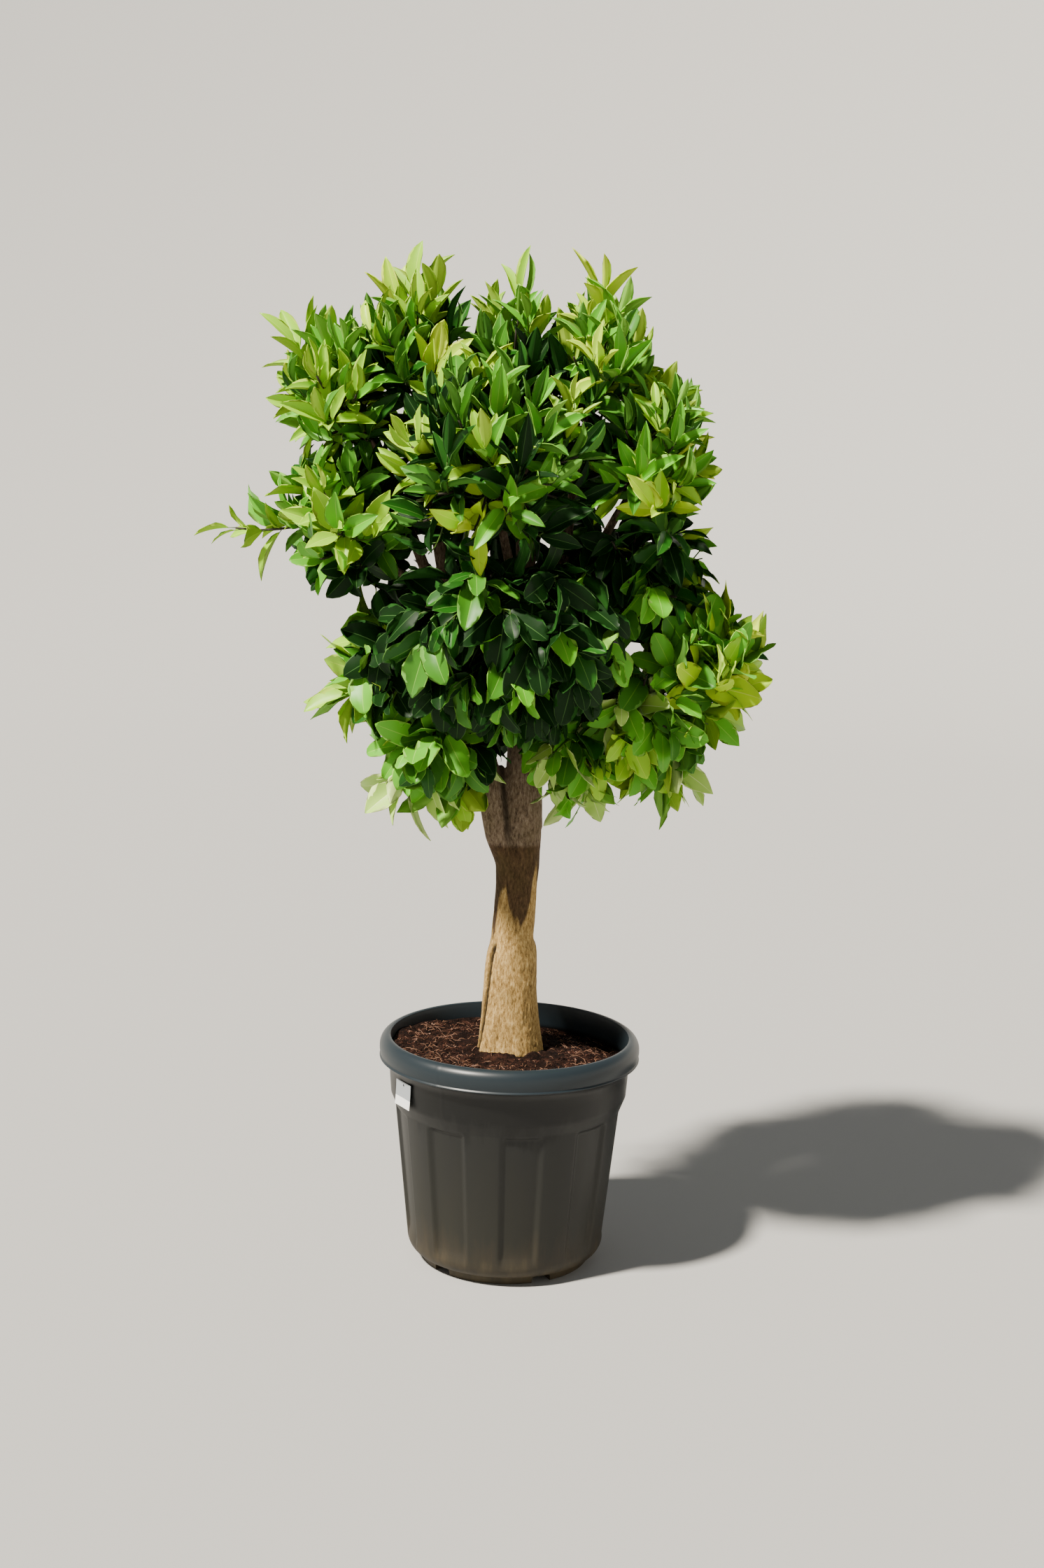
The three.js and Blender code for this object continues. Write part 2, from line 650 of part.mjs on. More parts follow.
function growMass(name, number) {
  const mass = masses[name];
  const random = draws(9000 + 517 * number);
  const bough = boughs[name];
  const boughWay = bough.curve.getTangent(1);
  const start = bough.curve.getPoint(1).addScaledVector(boughWay, seat);
  const stem = bend(start, boughWay, mass.heart, mass.heart.clone().sub(start));
  const core = new THREE.Mesh(coreBall(name));
  const stemSolid = twigSolid(stem, bough.radii[1] * 0.8, twigRadius, 3);
  let solid = stemSolid.add(clearedOfBoughs(solidOf(core.geometry)));
  const addLeaf = (foot, along, upward, size, reachLimit) => {
    const points = fittedLeaf(name, solid, foot, along, upward, size, reachLimit);
    if (points) solid = solid.add(leafSolid(points));
    return points;
  };
  const open = openEnds(name, 0.85, random);
  const farFromLeaders = (end) => mass.leaders.every((leader) => leader.distanceTo(end) > leafWidth);
  const away = open.ends.filter(farFromLeaders);
  const freeShoots = evenlyPicked(away, Math.round(open.area / shootSpacing ** 2));
  const shootEnds = [...mass.leaders, ...freeShoots];
  let leafNumber = 0;
  for (const [shootNumber, end] of shootEnds.entries()) {
    const leader = shootNumber < mass.leaders.length;
    const root = stem.getPoint(0.6 + 0.38 * random());
    const way = end.clone().sub(root);
    const length = way.length();
    way.normalize();
    const endLeaf = leafLength * (leader ? 0.95 : 0.6);
    const tip = root.clone().addScaledVector(way, Math.max(0.5 * length, length - endLeaf));
    const shoot = new THREE.LineCurve3(root, tip);
    const halfway = shoot.getPoint(0.5);
    if (!clearOfLimbs(halfway, tip, twigRadius) || !insideCell(name, halfway)) continue;
    solid = solid.add(twigSolid(shoot, twigRadius, twigTipRadius, 1));
    const rows = Math.max(leavesPerShoot, Math.round(shoot.getLength() / 40));
    for (let row = 0; row < rows; row++) {
      leafNumber += 1;
      const at = 0.985 - 0.5 * row / rows;
      const tangent = shoot.getTangent(at);
      const frame = limbFrame(tangent, tangent);
      const turn = leafNumber * spiral;
      const outwards = frame.side.multiplyScalar(Math.cos(turn));
      outwards.addScaledVector(frame.normal, Math.sin(turn));
      const along = tangent.clone().addScaledVector(outwards, row === 0 ? 0.15 : 1.5);
      along.addScaledVector(up, row === 0 ? 0 : mass.lift * 0.5).normalize();
      const upward = row === 0 ? up.clone().addScaledVector(outwards, 0.8) : tangent;
      const size = row === 0 ? 1 : 0.85 + 0.3 * random();
      const leaderReach = row === 0 ? Infinity : leafReach + 0.04;
      addLeaf(shoot.getPoint(at), along, upward, size, leader ? leaderReach : leafReach);
    }
  }
  const uncovered = openEnds(name, 0.62, random);
  for (const end of evenlyPicked(uncovered.ends, Math.round(uncovered.area / leafSpacing ** 2))) {
    leafNumber += 1;
    const foot = coreExit(core, mass.heart, end);
    if (!foot) continue;
    const out = end.clone().sub(mass.heart).normalize();
    const size = 0.9 + 0.3 * random();
    for (let attempt = 0; attempt < 4; attempt++) {
      const frame = limbFrame(out, out);
      const turn = (leafNumber + attempt) * spiral;
      const along = out.clone().addScaledVector(frame.side, leafSlant * Math.cos(turn));
      along.addScaledVector(frame.normal, leafSlant * Math.sin(turn));
      along.addScaledVector(up, mass.lift * 0.5).normalize();
      const sunk = foot.clone().addScaledVector(along, -leafSink);
      if (addLeaf(sunk, along, out, size, leafReach)) break;
    }
  }
  return piece(`foliage_${name}`, wholeBody(solid), mass.tint, 0.5);
}

const tree = new THREE.Group();
tree.add(makePot(), makeSoil(), makeTag());
tree.add(piece('trunk', makeTrunkSolid(0), '#9c7f58', 0.85));
tree.add(...makeBoughs(makeTrunkSolid(seat)));
Object.keys(masses).forEach((name, number) => tree.add(growMass(name, number)));

export default tree;
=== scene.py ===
import math

import bpy
import bmesh
import numpy as np
from mathutils import Matrix, Vector, noise


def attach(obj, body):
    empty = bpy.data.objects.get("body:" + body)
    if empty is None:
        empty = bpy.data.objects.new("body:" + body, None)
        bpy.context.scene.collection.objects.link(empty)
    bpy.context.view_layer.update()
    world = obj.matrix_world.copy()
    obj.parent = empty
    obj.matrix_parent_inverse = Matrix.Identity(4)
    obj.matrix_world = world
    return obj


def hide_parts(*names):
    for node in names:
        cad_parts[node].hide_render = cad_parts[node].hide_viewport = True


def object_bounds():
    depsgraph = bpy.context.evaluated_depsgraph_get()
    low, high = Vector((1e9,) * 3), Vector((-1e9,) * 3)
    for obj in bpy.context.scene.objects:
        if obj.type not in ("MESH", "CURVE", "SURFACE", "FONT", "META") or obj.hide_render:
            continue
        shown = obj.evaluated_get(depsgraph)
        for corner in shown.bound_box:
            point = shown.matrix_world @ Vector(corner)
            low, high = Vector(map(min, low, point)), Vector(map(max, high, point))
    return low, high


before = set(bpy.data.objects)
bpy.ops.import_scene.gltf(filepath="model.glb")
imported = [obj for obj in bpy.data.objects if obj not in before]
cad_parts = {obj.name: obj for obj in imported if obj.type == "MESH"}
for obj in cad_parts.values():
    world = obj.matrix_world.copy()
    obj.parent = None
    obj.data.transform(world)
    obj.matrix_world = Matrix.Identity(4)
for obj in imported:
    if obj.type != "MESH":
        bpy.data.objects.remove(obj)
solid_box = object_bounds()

# The nursery pot: polypropylene, moulded in one shot, with a rolled rim to lift it by, a collar,
# a slanted step, a body pressed in over every second panel, and a foot with drainage notches.
# Its sizes are millimetres from the floor and from the pot's own axis.

MM = 0.001
RIM_RADIUS = 230
POT_HEIGHT = 407
WALL = 3
BODY_TOP_RADIUS = 200.5
BODY_FOOT_RADIUS = 175.5
COLLAR_RADIUS = 210
FOOT_RADIUS = 150
PANEL_PAIRS = 9
FLUTE_DEPTH = 6
LEDGE, FLUTE_FOOT, FLUTE_FULL, FLUTE_TOP, BODY_TOP = 15, 44, 58, 276, 284
COLLAR_FOOT, COLLAR_TOP, ROLL_FOOT, FLOOR_TOP = 306, 354, 369, 16
EDGE_RADIUS = 153  # the body's rounded lower edge starts here, over the foot ring
NOTCH_COUNT, NOTCH_WIDTH, NOTCH_HEIGHT, NOTCH_CORNER, NOTCH_DEPTH = 5, 36, 13, 6, 30
PARTING_PROUD = 0.5
# degrees round the pot from its front
FIRST_NOTCH, PANEL_TURN, FLUTE_SLOPE = 26, 1, 2.6
PARTING_TURNS, PARTING_HALF_WIDTH = (148, 328), 0.9


def smooth(value, low, high):
    """0 below `low`, 1 above `high`, and a smooth rise between them."""
    share = np.clip((value - low) / (high - low), 0.0, 1.0)
    return share * share * (3 - 2 * share)


def arc(centre, reach, start, end, steps):
    """Points of an ellipse's arc from start to end degrees, 0 outwards and 90 up."""
    points = []
    for step in range(steps + 1):
        turn = math.radians(start + (end - start) * step / steps)
        points.append((centre[0] + reach[0] * math.cos(turn), centre[1] + reach[1] * math.sin(turn)))
    return points


def body_radius(height):
    """The radius of the body's proud panels."""
    share = (height - FLUTE_FOOT) / (BODY_TOP - FLUTE_FOOT)
    return BODY_FOOT_RADIUS + share * (BODY_TOP_RADIUS - BODY_FOOT_RADIUS)


def pot_profile():
    """Radius and height of the wall's outline: up the outside, over the rim and down the inside."""
    # the foot ring, and over it the body's rounded lower edge
    points = [(0.5, 0), (60, 0), (120, 0)]
    points += arc((FOOT_RADIUS - 3, 2), (3, 2), -90, 0, 3)
    points += [(FOOT_RADIUS + 1.5, LEDGE - 3)]
    edge = (BODY_FOOT_RADIUS - EDGE_RADIUS, FLUTE_FOOT - LEDGE)
    points += arc((EDGE_RADIUS, FLUTE_FOOT), edge, -90, 0, 10)
    # the body, the slanted step and the collar
    points += [(body_radius(z), z) for z in (47, 50, 54, FLUTE_FULL)]
    points += [(body_radius(z), z) for z in np.linspace(FLUTE_FULL + 12, FLUTE_TOP - 10, 14)]
    points += [(body_radius(z), z) for z in (FLUTE_TOP - 4, FLUTE_TOP, 279, 282)]
    points += [(BODY_TOP_RADIUS, BODY_TOP), (BODY_TOP_RADIUS + 1.2, BODY_TOP + 3)]
    points += [(COLLAR_RADIUS - 3, COLLAR_FOOT - 5), (COLLAR_RADIUS - 1.3, COLLAR_FOOT - 1)]
    points += [(COLLAR_RADIUS - 1, COLLAR_FOOT + 3), (COLLAR_RADIUS + 1, COLLAR_TOP - 20)]
    points += [(COLLAR_RADIUS + 1.8, COLLAR_TOP - 4), (COLLAR_RADIUS + 3.5, COLLAR_TOP)]
    points += [(RIM_RADIUS - 12, ROLL_FOOT - 5.5), (RIM_RADIUS - 7, ROLL_FOOT - 2.5)]
    # a thin lip under the roll, where the mould's halves meet, catches the light
    points += arc((RIM_RADIUS - 2.2, ROLL_FOOT + 0.4), (2.2, 1.6), -90, 60, 6)
    points += [(RIM_RADIUS - 2, ROLL_FOOT + 3.4), (RIM_RADIUS - 1.2, ROLL_FOOT + 7)]
    points += [(RIM_RADIUS, ROLL_FOOT + 13)]
    points += arc((RIM_RADIUS - 16, ROLL_FOOT + 18), (16, POT_HEIGHT - ROLL_FOOT - 18), 0, 90, 12)
    points += [(RIM_RADIUS - 19, POT_HEIGHT - 1), (COLLAR_RADIUS + 0.5, POT_HEIGHT - 4)]
    # down the inside to the floor
    points += [(COLLAR_RADIUS - 1, POT_HEIGHT - 9), (COLLAR_RADIUS - 2, COLLAR_TOP + 20)]
    points += [(COLLAR_RADIUS - WALL, COLLAR_TOP), (COLLAR_RADIUS - 1 - WALL, COLLAR_FOOT)]
    points += [(BODY_TOP_RADIUS - WALL, BODY_TOP), (body_radius(FLUTE_TOP) - WALL, FLUTE_TOP)]
    points += [(body_radius(FLUTE_FULL) - WALL, FLUTE_FULL), (BODY_FOOT_RADIUS - WALL, FLUTE_FOOT)]
    points += [(154, FLOOR_TOP), (80, FLOOR_TOP), (0.5, FLOOR_TOP)]
    return points


def flute(degrees_from_front, height):
    """How much of the flute's depth shows at this place of the body, from 0 to 1."""
    half = 180 / PANEL_PAIRS
    turn = (degrees_from_front + PANEL_TURN) % (2 * half)
    pressed = 1 - smooth(turn, half - FLUTE_SLOPE, half) + smooth(turn, 2 * half - FLUTE_SLOPE, 2 * half)
    ends = smooth(height, FLUTE_FOOT - 12, FLUTE_FULL + 8) * (1 - smooth(height, FLUTE_TOP, BODY_TOP))
    return pressed * ends


def ring_faces(starts, count):
    """The faces of a closed skin over rings of `count` vertices, by the first vertex of each ring."""
    faces = []
    for low, high in zip(starts, starts[1:]):
        for i in range(count):
            after = (i + 1) % count
            faces.append((low + i, low + after, high + after, high + i))
    faces.append(tuple(starts[0] + i for i in reversed(range(count))))
    faces.append(tuple(starts[-1] + i for i in range(count)))
    return faces


def new_object(name, vertices, faces, rounded=True, closed=True):
    """Makes an object, shaded smooth if it is rounded, its faces turned outwards if it is closed."""
    mesh = bpy.data.meshes.new(name)
    mesh.from_pydata([tuple(v) for v in vertices], [], faces)
    mesh.validate()
    mesh.update()
    if rounded:
        mesh.shade_smooth()
    if closed:
        shape = bmesh.new()
        shape.from_mesh(mesh)
        bmesh.ops.recalc_face_normals(shape, faces=shape.faces)
        shape.to_mesh(mesh)
        shape.free()
    made = bpy.data.objects.new(name, mesh)
    bpy.context.scene.collection.objects.link(made)
    return made


def settle(made):
    """Applies an object's modifiers to its mesh."""
    bpy.context.view_layer.update()
    shown = made.evaluated_get(bpy.context.evaluated_depsgraph_get())
    mesh = bpy.data.meshes.new_from_object(shown)
    made.modifiers.clear()
    made.data = mesh


def make_pot():
    columns = 396
    profile = pot_profile()
    # the rows of the outside and the rim come before the first row inside
    outer_rows = next(i for i, (r, z) in enumerate(profile) if z == POT_HEIGHT - 4)
    vertices = []
    for row, (radius, height) in enumerate(profile):
        for column in range(columns):
            degrees = 360 * column / columns
            pressed = flute(degrees, height) * FLUTE_DEPTH
            shown = radius - pressed if radius > FOOT_RADIUS + 2 else radius
            # the mould's two parting lines, a hair proud on the rim and collar
            parting = min(abs((degrees - turn) % 360 - 180) for turn in PARTING_TURNS)
            if row < outer_rows and height > COLLAR_FOOT:
                shown += PARTING_PROUD * max(0.0, 1 - parting / PARTING_HALF_WIDTH)
            turn = math.radians(degrees)
            vertices.append((shown * math.sin(turn) * MM, -shown * math.cos(turn) * MM, height * MM))
    return new_object("nursery_pot", vertices, ring_faces(range(0, len(vertices), columns), columns))


def notch_cutters():
    half, top, corner = NOTCH_WIDTH / 2, NOTCH_HEIGHT, NOTCH_CORNER
    outline = [(-half, -top), (half, -top), (half, top - corner)]
    outline += [(half - corner * 0.3, top - corner * 0.3), (half - corner, top)]
    outline += [(corner - half, top), (corner * 0.3 - half, top - corner * 0.3), (-half, top - corner)]
    vertices, faces = [], []
    for number in range(NOTCH_COUNT):
        turn = math.radians(FIRST_NOTCH + number * 360 / NOTCH_COUNT)
        base = len(vertices)
        for reach in (FOOT_RADIUS - NOTCH_DEPTH, FOOT_RADIUS + NOTCH_DEPTH):
            for x, z in outline:
                across = Vector((math.cos(turn), math.sin(turn), 0)) * x
                out = Vector((math.sin(turn), -math.cos(turn), 0)) * reach
                point = (across + out) * MM
                vertices.append((point.x, point.y, z * MM))
        count = len(outline)
        faces.append(tuple(base + i for i in range(count)))
        faces.append(tuple(base + count + i for i in reversed(range(count))))
        for i in range(count):
            j = (i + 1) % count
            faces.append((base + i, base + count + i, base + count + j, base + j))
    return new_object("notch_cutters", vertices, faces, rounded=False)


pot = make_pot()
cutters = notch_cutters()
cut = pot.modifiers.new("drainage", "BOOLEAN")
cut.operation = "DIFFERENCE"
cut.solver = "EXACT"
cut.object = cutters
settle(pot)
bpy.data.objects.remove(cutters)
pot.data.shade_smooth()
pot.data.set_sharp_from_angle(angle=math.radians(35))


def linear(hex_colour):
    """An sRGB hex colour as linear red, green, blue and alpha."""
    channels = [int(hex_colour[i:i + 2], 16) / 255 for i in (1, 3, 5)]
    return tuple(c / 12.92 if c <= 0.04045 else ((c + 0.055) / 1.055) ** 2.4 for c in channels) + (1.0,)


def new_material(name, colour, roughness, ior=1.5, gloss=0.5):
    material = bpy.data.materials.new(name)
    material.use_nodes = True
    shader = material.node_tree.nodes["Principled BSDF"]
    values = {"Base Color": linear(colour), "Roughness": roughness, "IOR": ior, "Specular IOR Level": gloss}
    for key, value in values.items():
        shader.inputs[key].default_value = value
    return material


def link(tree, made, links):
    """Links sockets to a node's inputs. A node given for a socket stands for its first output."""
    for key, source in links.items():
        socket = source.outputs[0] if isinstance(source, bpy.types.Node) else source
        tree.links.new(socket, made.inputs[key])


def node(tree, kind, settings=None, values=None, links=None, stops=()):
    """Adds a node, sets its settings, its sockets' values and a ramp's stops, and links its inputs."""
    made = tree.nodes.new("ShaderNode" + kind)
    for key, value in (settings or {}).items():
        setattr(made, key, value)
    for key, value in (values or {}).items():
        made.inputs[key].default_value = value
    link(tree, made, links or {})
    for number, (place, colour) in enumerate(stops):
        if number >= 2:
            made.color_ramp.elements.new(place)
        made.color_ramp.elements[number].position = place
        made.color_ramp.elements[number].color = linear(colour)
    return made


def finish(tree, links):
    """Links the last nodes of a material to its shader."""
    link(tree, tree.nodes["Principled BSDF"], links)


COLOURS = {"data_type": "RGBA"}
FACTOR, FIRST, SECOND, MIXED = 0, 6, 7, 2  # the sockets of a mix of colours
MULTIPLY_ADD = {"operation": "MULTIPLY_ADD"}

# Polypropylene with carbon black, injection-moulded and stood outdoors: a dull grain that blurs
# reflections, and brown dust that has run down to the foot. The smooth rim is painted bluish, a
# painted reflection of the sky; the collar under it is painted darker, a painted shadow of the rim;
# and the foot ring is painted a lighter dust, partly painted light where the body shades it.
# The real grain is finer than half a millimetre and is drawn coarser, so that it shows.
moulded = new_material("moulded_polypropylene", "#1C1D1B", 0.42, 1.49, 0.3)
tree = moulded.node_tree
place = node(tree, "TexCoord").outputs["Object"]
height = node(tree, "SeparateXYZ", links={"Vector": place}).outputs["Z"]
stretch = node(tree, "Mapping", values={"Scale": (1, 1, 0.2)}, links={"Vector": place})
streaks = node(tree, "TexNoise", values={"Scale": 1 / (26 * MM), "Detail": 5, "Roughness": 0.6},
               links={"Vector": stretch})
fall = node(tree, "Math", MULTIPLY_ADD, {1: 0.16}, {0: streaks, 2: height})
# dust from the foot up; at the top the collar is painted dark as the rim's painted shadow, and at the
# bottom the foot ring is painted lighter, partly painted light
dust_and_painted_shade = node(tree, "ValToRGB", links={"Fac": fall},
            stops=((0.07, "#433B2B"), (0.13, "#29251C"), (0.18, "#1E1E19"), (0.35, "#191A19"),
                   (0.385, "#0A0B0B")))
# painted reflection: the roll above its foot is painted bluish, for the sky's sheen on the smooth rim
rolled = node(tree, "MapRange", values={"From Min": (ROLL_FOOT - 6) * MM, "From Max": ROLL_FOOT * MM},
              links={"Value": height})
dust_shade_and_rim_reflection = node(tree, "Mix", COLOURS, {SECOND: linear("#1D252A")}, {FACTOR: rolled, FIRST: dust_and_painted_shade})
dull = node(tree, "MapRange", values={"From Min": 0.05, "From Max": 0.45, "To Min": 0.62, "To Max": 0.36},
            links={"Value": fall})
grain = node(tree, "TexNoise", values={"Scale": 1 / (1.6 * MM), "Detail": 3}, links={"Vector": place})
relief = node(tree, "Bump", values={"Strength": 0.12, "Distance": 0.3 * MM}, links={"Height": grain})
finish(tree, {"Base Color": dust_shade_and_rim_reflection.outputs[MIXED], "Roughness": dull, "Normal": relief})
pot.data.materials.append(moulded)
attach(pot, "root")
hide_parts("pot")

# The soil: a potting mix of peat and shredded bark, filled by hand, mounded at the stem and sunk
# at the back right. Loose chips and pale fibres lie on it.

SOIL_LEVEL = 383
SOIL_EDGE = COLLAR_RADIUS - WALL - 1.2
LITTER_EDGE = 203  # no fibre reaches beyond this
# the rings are the radii between which chips and fibres lie
CHIP_COUNT, CHIP_SEED, CHIP_RING = 4200, 4021, (62, 200)
FIBRE_COUNT, FIBRE_SEED, FIBRE_RING = 420, 977, (64, 196)
ANY_TURN = 6.3  # about a full turn, in radians
# a chip's corners, as shares of half its length, width and thickness, and its faces
CHIP_CORNERS = ((-1, -0.6, -1), (1, -1, -1), (0.8, 0.7, -1), (-0.7, 1, -1),
                (-0.7, -0.4, 1), (0.8, -0.6, 0.7), (0.6, 0.5, 0.9), (-0.5, 0.7, 1))
CHIP_FACES = ((3, 2, 1, 0), (4, 5, 6, 7), (0, 1, 5, 4), (1, 2, 6, 5), (2, 3, 7, 6), (3, 0, 4, 7))


def soil_height(x, y):
    """The soil's level without its crumbs: mounded at the stem, lower at the back right."""
    away = smooth(math.hypot(x, y), 78, 200)
    lean = -0.055 * x - 0.05 * y - 10 * smooth(x + 0.6 * y, 60, 220)
    lumps = 3 * math.sin(x / 23 + 1.3) * math.cos(y / 19 - 0.4)
    return SOIL_LEVEL + away * (lean + lumps)


def crumbs(x, y):
    """Relief of the crumbly top, in millimetres."""
    clods = noise.noise(Vector((x / 21, y / 21, 3.1)))
    coarse = noise.noise(Vector((x / 10, y / 10, 5.2)))
    fine = noise.noise(Vector((x / 4.5, y / 4.5, 7.7)))
    heaped = 5.5 * (1 - smooth(math.hypot(x, y), 56, 88)) * (0.7 + clods)
    return 5 * clods + 2.4 * coarse + 1.8 * fine - 2 + heaped


def on_ring(radius, turn):
    return radius * math.cos(turn), radius * math.sin(turn)


def make_soil():
    sides, rings = 250, 72
    # up the pot's wall from its floor, and then over the top to the middle
    wall = [(147, FLOOR_TOP + 0.3), (160, FLUTE_FOOT + 4), (190, FLUTE_TOP),
            (SOIL_EDGE - 4, COLLAR_FOOT + 4)]
    top = [(SOIL_EDGE * (1 - ring / rings) + 0.5, None) for ring in range(rings)]
    vertices = []
    for radius, level in wall + top:
        for side in range(sides):
            x, y = on_ring(radius, 2 * math.pi * side / sides)
            settled = 1 - smooth(radius, SOIL_EDGE - 6, SOIL_EDGE)
            z = level or soil_height(x, y) + crumbs(x, y) * settled
            vertices.append((x * MM, y * MM, z * MM))
    return new_object("potting_soil", vertices, ring_faces(range(0, len(vertices), sides), sides))


def draws(seed):
    """Draws between 0 and 1 by whole-number arithmetic, the same on every run."""
    state = seed
    while True:
        state = state * 16807 % 2147483647
        yield state / 2147483647


def soil_spot(random, low, high):
    radius = low + (high - low) * math.sqrt(next(random))
    return on_ring(radius, 2 * math.pi * next(random))


def make_chips():
    """Splinters of bark, each a small wedge that lies at its own angle."""
    random = draws(CHIP_SEED)
    vertices, faces = [], []
    for _ in range(CHIP_COUNT):
        x, y = soil_spot(random, *CHIP_RING)
        length = 1.8 + 6.5 * next(random) ** 2.4
        width = length * (0.3 + 0.4 * next(random))
        thick = 0.8 + 1.4 * next(random)
        lie = Matrix.Rotation(ANY_TURN * next(random), 3, "Z")
        lie = lie @ Matrix.Rotation(0.9 * next(random) - 0.45, 3, "X")
        lie = lie @ Matrix.Rotation(0.7 * next(random) - 0.35, 3, "Y")
        centre = Vector((x, y, soil_height(x, y) + crumbs(x, y) + 0.5))
        base = len(vertices)
        for dx, dy, dz in CHIP_CORNERS:
            corner = Vector((dx * length / 2, dy * width / 2, dz * thick / 2))
            vertices.append(tuple((centre + lie @ corner) * MM))
        faces += [tuple(base + i for i in face) for face in CHIP_FACES]
    return new_object("bark_chips", vertices, faces, rounded=False)


def make_fibres():
    """Threads of coir and root that lie curled on the soil."""
    random = draws(FIBRE_SEED)
    vertices, faces = [], []
    for _ in range(FIBRE_COUNT):
        x, y = soil_spot(random, *FIBRE_RING)
        heading, curl = ANY_TURN * next(random), 1.6 * next(random) - 0.8
        length, thick = 5 + 16 * next(random), 0.25 + 0.25 * next(random)
        base, steps = len(vertices), 5
        for step in range(steps + 1):
            share = step / steps
            turn = heading + curl * share
            px, py = x + length * share * math.cos(turn), y + length * share * math.sin(turn)
            far = math.hypot(px, py)
            if far > LITTER_EDGE:
                px, py = px * LITTER_EDGE / far, py * LITTER_EDGE / far
            z = soil_height(px, py) + crumbs(px, py) + 0.8 + 2 * math.sin(math.pi * share)
            across = Vector((-math.sin(turn), math.cos(turn), 0)) * thick
            for offset in (across, Vector((0, 0, thick)), -across):
                vertices.append(tuple((Vector((px, py, z)) + offset) * MM))
        faces += ring_faces(range(base, len(vertices), 3), 3)
    return new_object("coir_fibres", vertices, faces, rounded=False)


# Peat and composted bark, sieved and damp: red-brown, without gloss, darker where it is wet.
peat = new_material("sieved_peat_mix", "#2A1610", 0.95, 1.35, 0.15)
tree = peat.node_tree
place = node(tree, "TexCoord").outputs["Object"]
damp = node(tree, "TexNoise", values={"Scale": 1 / (24 * MM), "Detail": 8, "Roughness": 0.8},
            links={"Vector": place})
brown = node(tree, "ValToRGB", links={"Fac": damp},
             stops=((0.38, "#060302"), (0.5, "#160C08"), (0.66, "#39231A")))
grit = node(tree, "TexVoronoi", values={"Scale": 1 / (3 * MM)}, links={"Vector": place})
relief = node(tree, "Bump", values={"Strength": 0.8, "Distance": 1.5 * MM}, links={"Height": grit})
finish(tree, {"Base Color": brown, "Normal": relief})

# Shredded pine bark: dry splinters, matt, from dark to foxy brown.
splinter = new_material("shredded_bark", "#3A2116", 0.9, 1.4, 0.2)
tree = splinter.node_tree
place = node(tree, "TexCoord").outputs["Object"]
each = node(tree, "TexNoise", values={"Scale": 1 / (22 * MM), "Detail": 5, "Roughness": 0.75},
            links={"Vector": place})
foxy = node(tree, "ValToRGB", links={"Fac": each},
            stops=((0.38, "#0A0403"), (0.52, "#23120B"), (0.6, "#4C2F24"), (0.68, "#A08474")))
finish(tree, {"Base Color": foxy})

# Coir, combed: dry pale threads with a faint gloss.
coir = new_material("combed_coir", "#6E4C36", 0.7, 1.45)

for made, material, node_name in ((make_soil(), peat, "soil"), (make_chips(), splinter, None),
                                  (make_fibres(), coir, None)):
    made.data.materials.append(material)
    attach(made, "root")
    if node_name:
        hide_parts(node_name)

# The label: a thin polystyrene card, die-cut with a hanging hole, pushed under the rim so that
# it lies on the collar. It is blank: a grey field above a white strip.

LABEL_TURN = math.radians(-58)
LABEL_WIDTH, LABEL_HEIGHT, LABEL_THICKNESS = 50, 44, 0.8
LABEL_FOOT = COLLAR_TOP - LABEL_HEIGHT - 5
HOLE_HEIGHT, HOLE_RADIUS = LABEL_HEIGHT - 6, 2.5
WHITE_SHARE = 0.34


def make_label():
    columns, rows = 24, 22
    vertices, faces, fields = [], [], []
    for side in (0, 1):
        for row in range(rows + 1):
            for column in range(columns + 1):
                x = LABEL_WIDTH * (column / columns - 0.5)
                z = LABEL_HEIGHT * row / rows
                # vertices next to the hole's edge are drawn onto it
                rise = z - HOLE_HEIGHT
                near = math.hypot(x, rise)
                if 0 < near < HOLE_RADIUS * 1.5:
                    x, z = x / near * HOLE_RADIUS, HOLE_HEIGHT + rise / near * HOLE_RADIUS
                # the card's lower edge stands a little off the collar
                off = COLLAR_RADIUS + 2.4 + 2.5 * (1 - z / LABEL_HEIGHT) ** 2 + 0.4 * (x / 25) ** 2
                off += side * LABEL_THICKNESS
                vertices.append(((x * math.cos(LABEL_TURN) + off * math.sin(LABEL_TURN)) * MM,
                                 (x * math.sin(LABEL_TURN) - off * math.cos(LABEL_TURN)) * MM,
                                 (LABEL_FOOT + z) * MM))
    layer = (rows + 1) * (columns + 1)
    cells = set()
    for row in range(rows):
        for column in range(columns):
            x = LABEL_WIDTH * ((column + 0.5) / columns - 0.5)
            z = LABEL_HEIGHT * (row + 0.5) / rows
            if math.hypot(x, z - HOLE_HEIGHT) > HOLE_RADIUS * 0.75:
                cells.add((row, column))
    for row, column in cells:
        a = row * (columns + 1) + column
        quad = (a, a + 1, a + columns + 2, a + columns + 1)
        white = int(row < rows * WHITE_SHARE)
        faces.append(tuple(layer + i for i in quad))
        faces.append(tuple(reversed(quad)))
        fields += [white, white]
        beside = ((row - 1, column), (row, column + 1), (row + 1, column), (row, column - 1))
        for number, cell in enumerate(beside):
            if cell not in cells:
                p, q = quad[number], quad[(number + 1) % 4]
                faces.append((p, q, layer + q, layer + p))
                fields.append(white)
    made = new_object("blank_label", vertices, faces, rounded=False)
    made.data.polygons.foreach_set("material_index", fields)
    return made


# Polystyrene card, printed grey over white and die-cut: smooth, with a soft even gloss.
label = make_label()
label.data.materials.append(new_material("grey_polystyrene_card", "#8E9499", 0.38, 1.59))
label.data.materials.append(new_material("white_polystyrene_card", "#E6E8E8", 0.38, 1.59))
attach(label, "root")
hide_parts("tag")

# The trunk and boughs: one lemon grafted low on a rootstock. It flares to root toes at the soil,
# steps in over the old graft, swells to the fork, and its boughs leave it one from another.

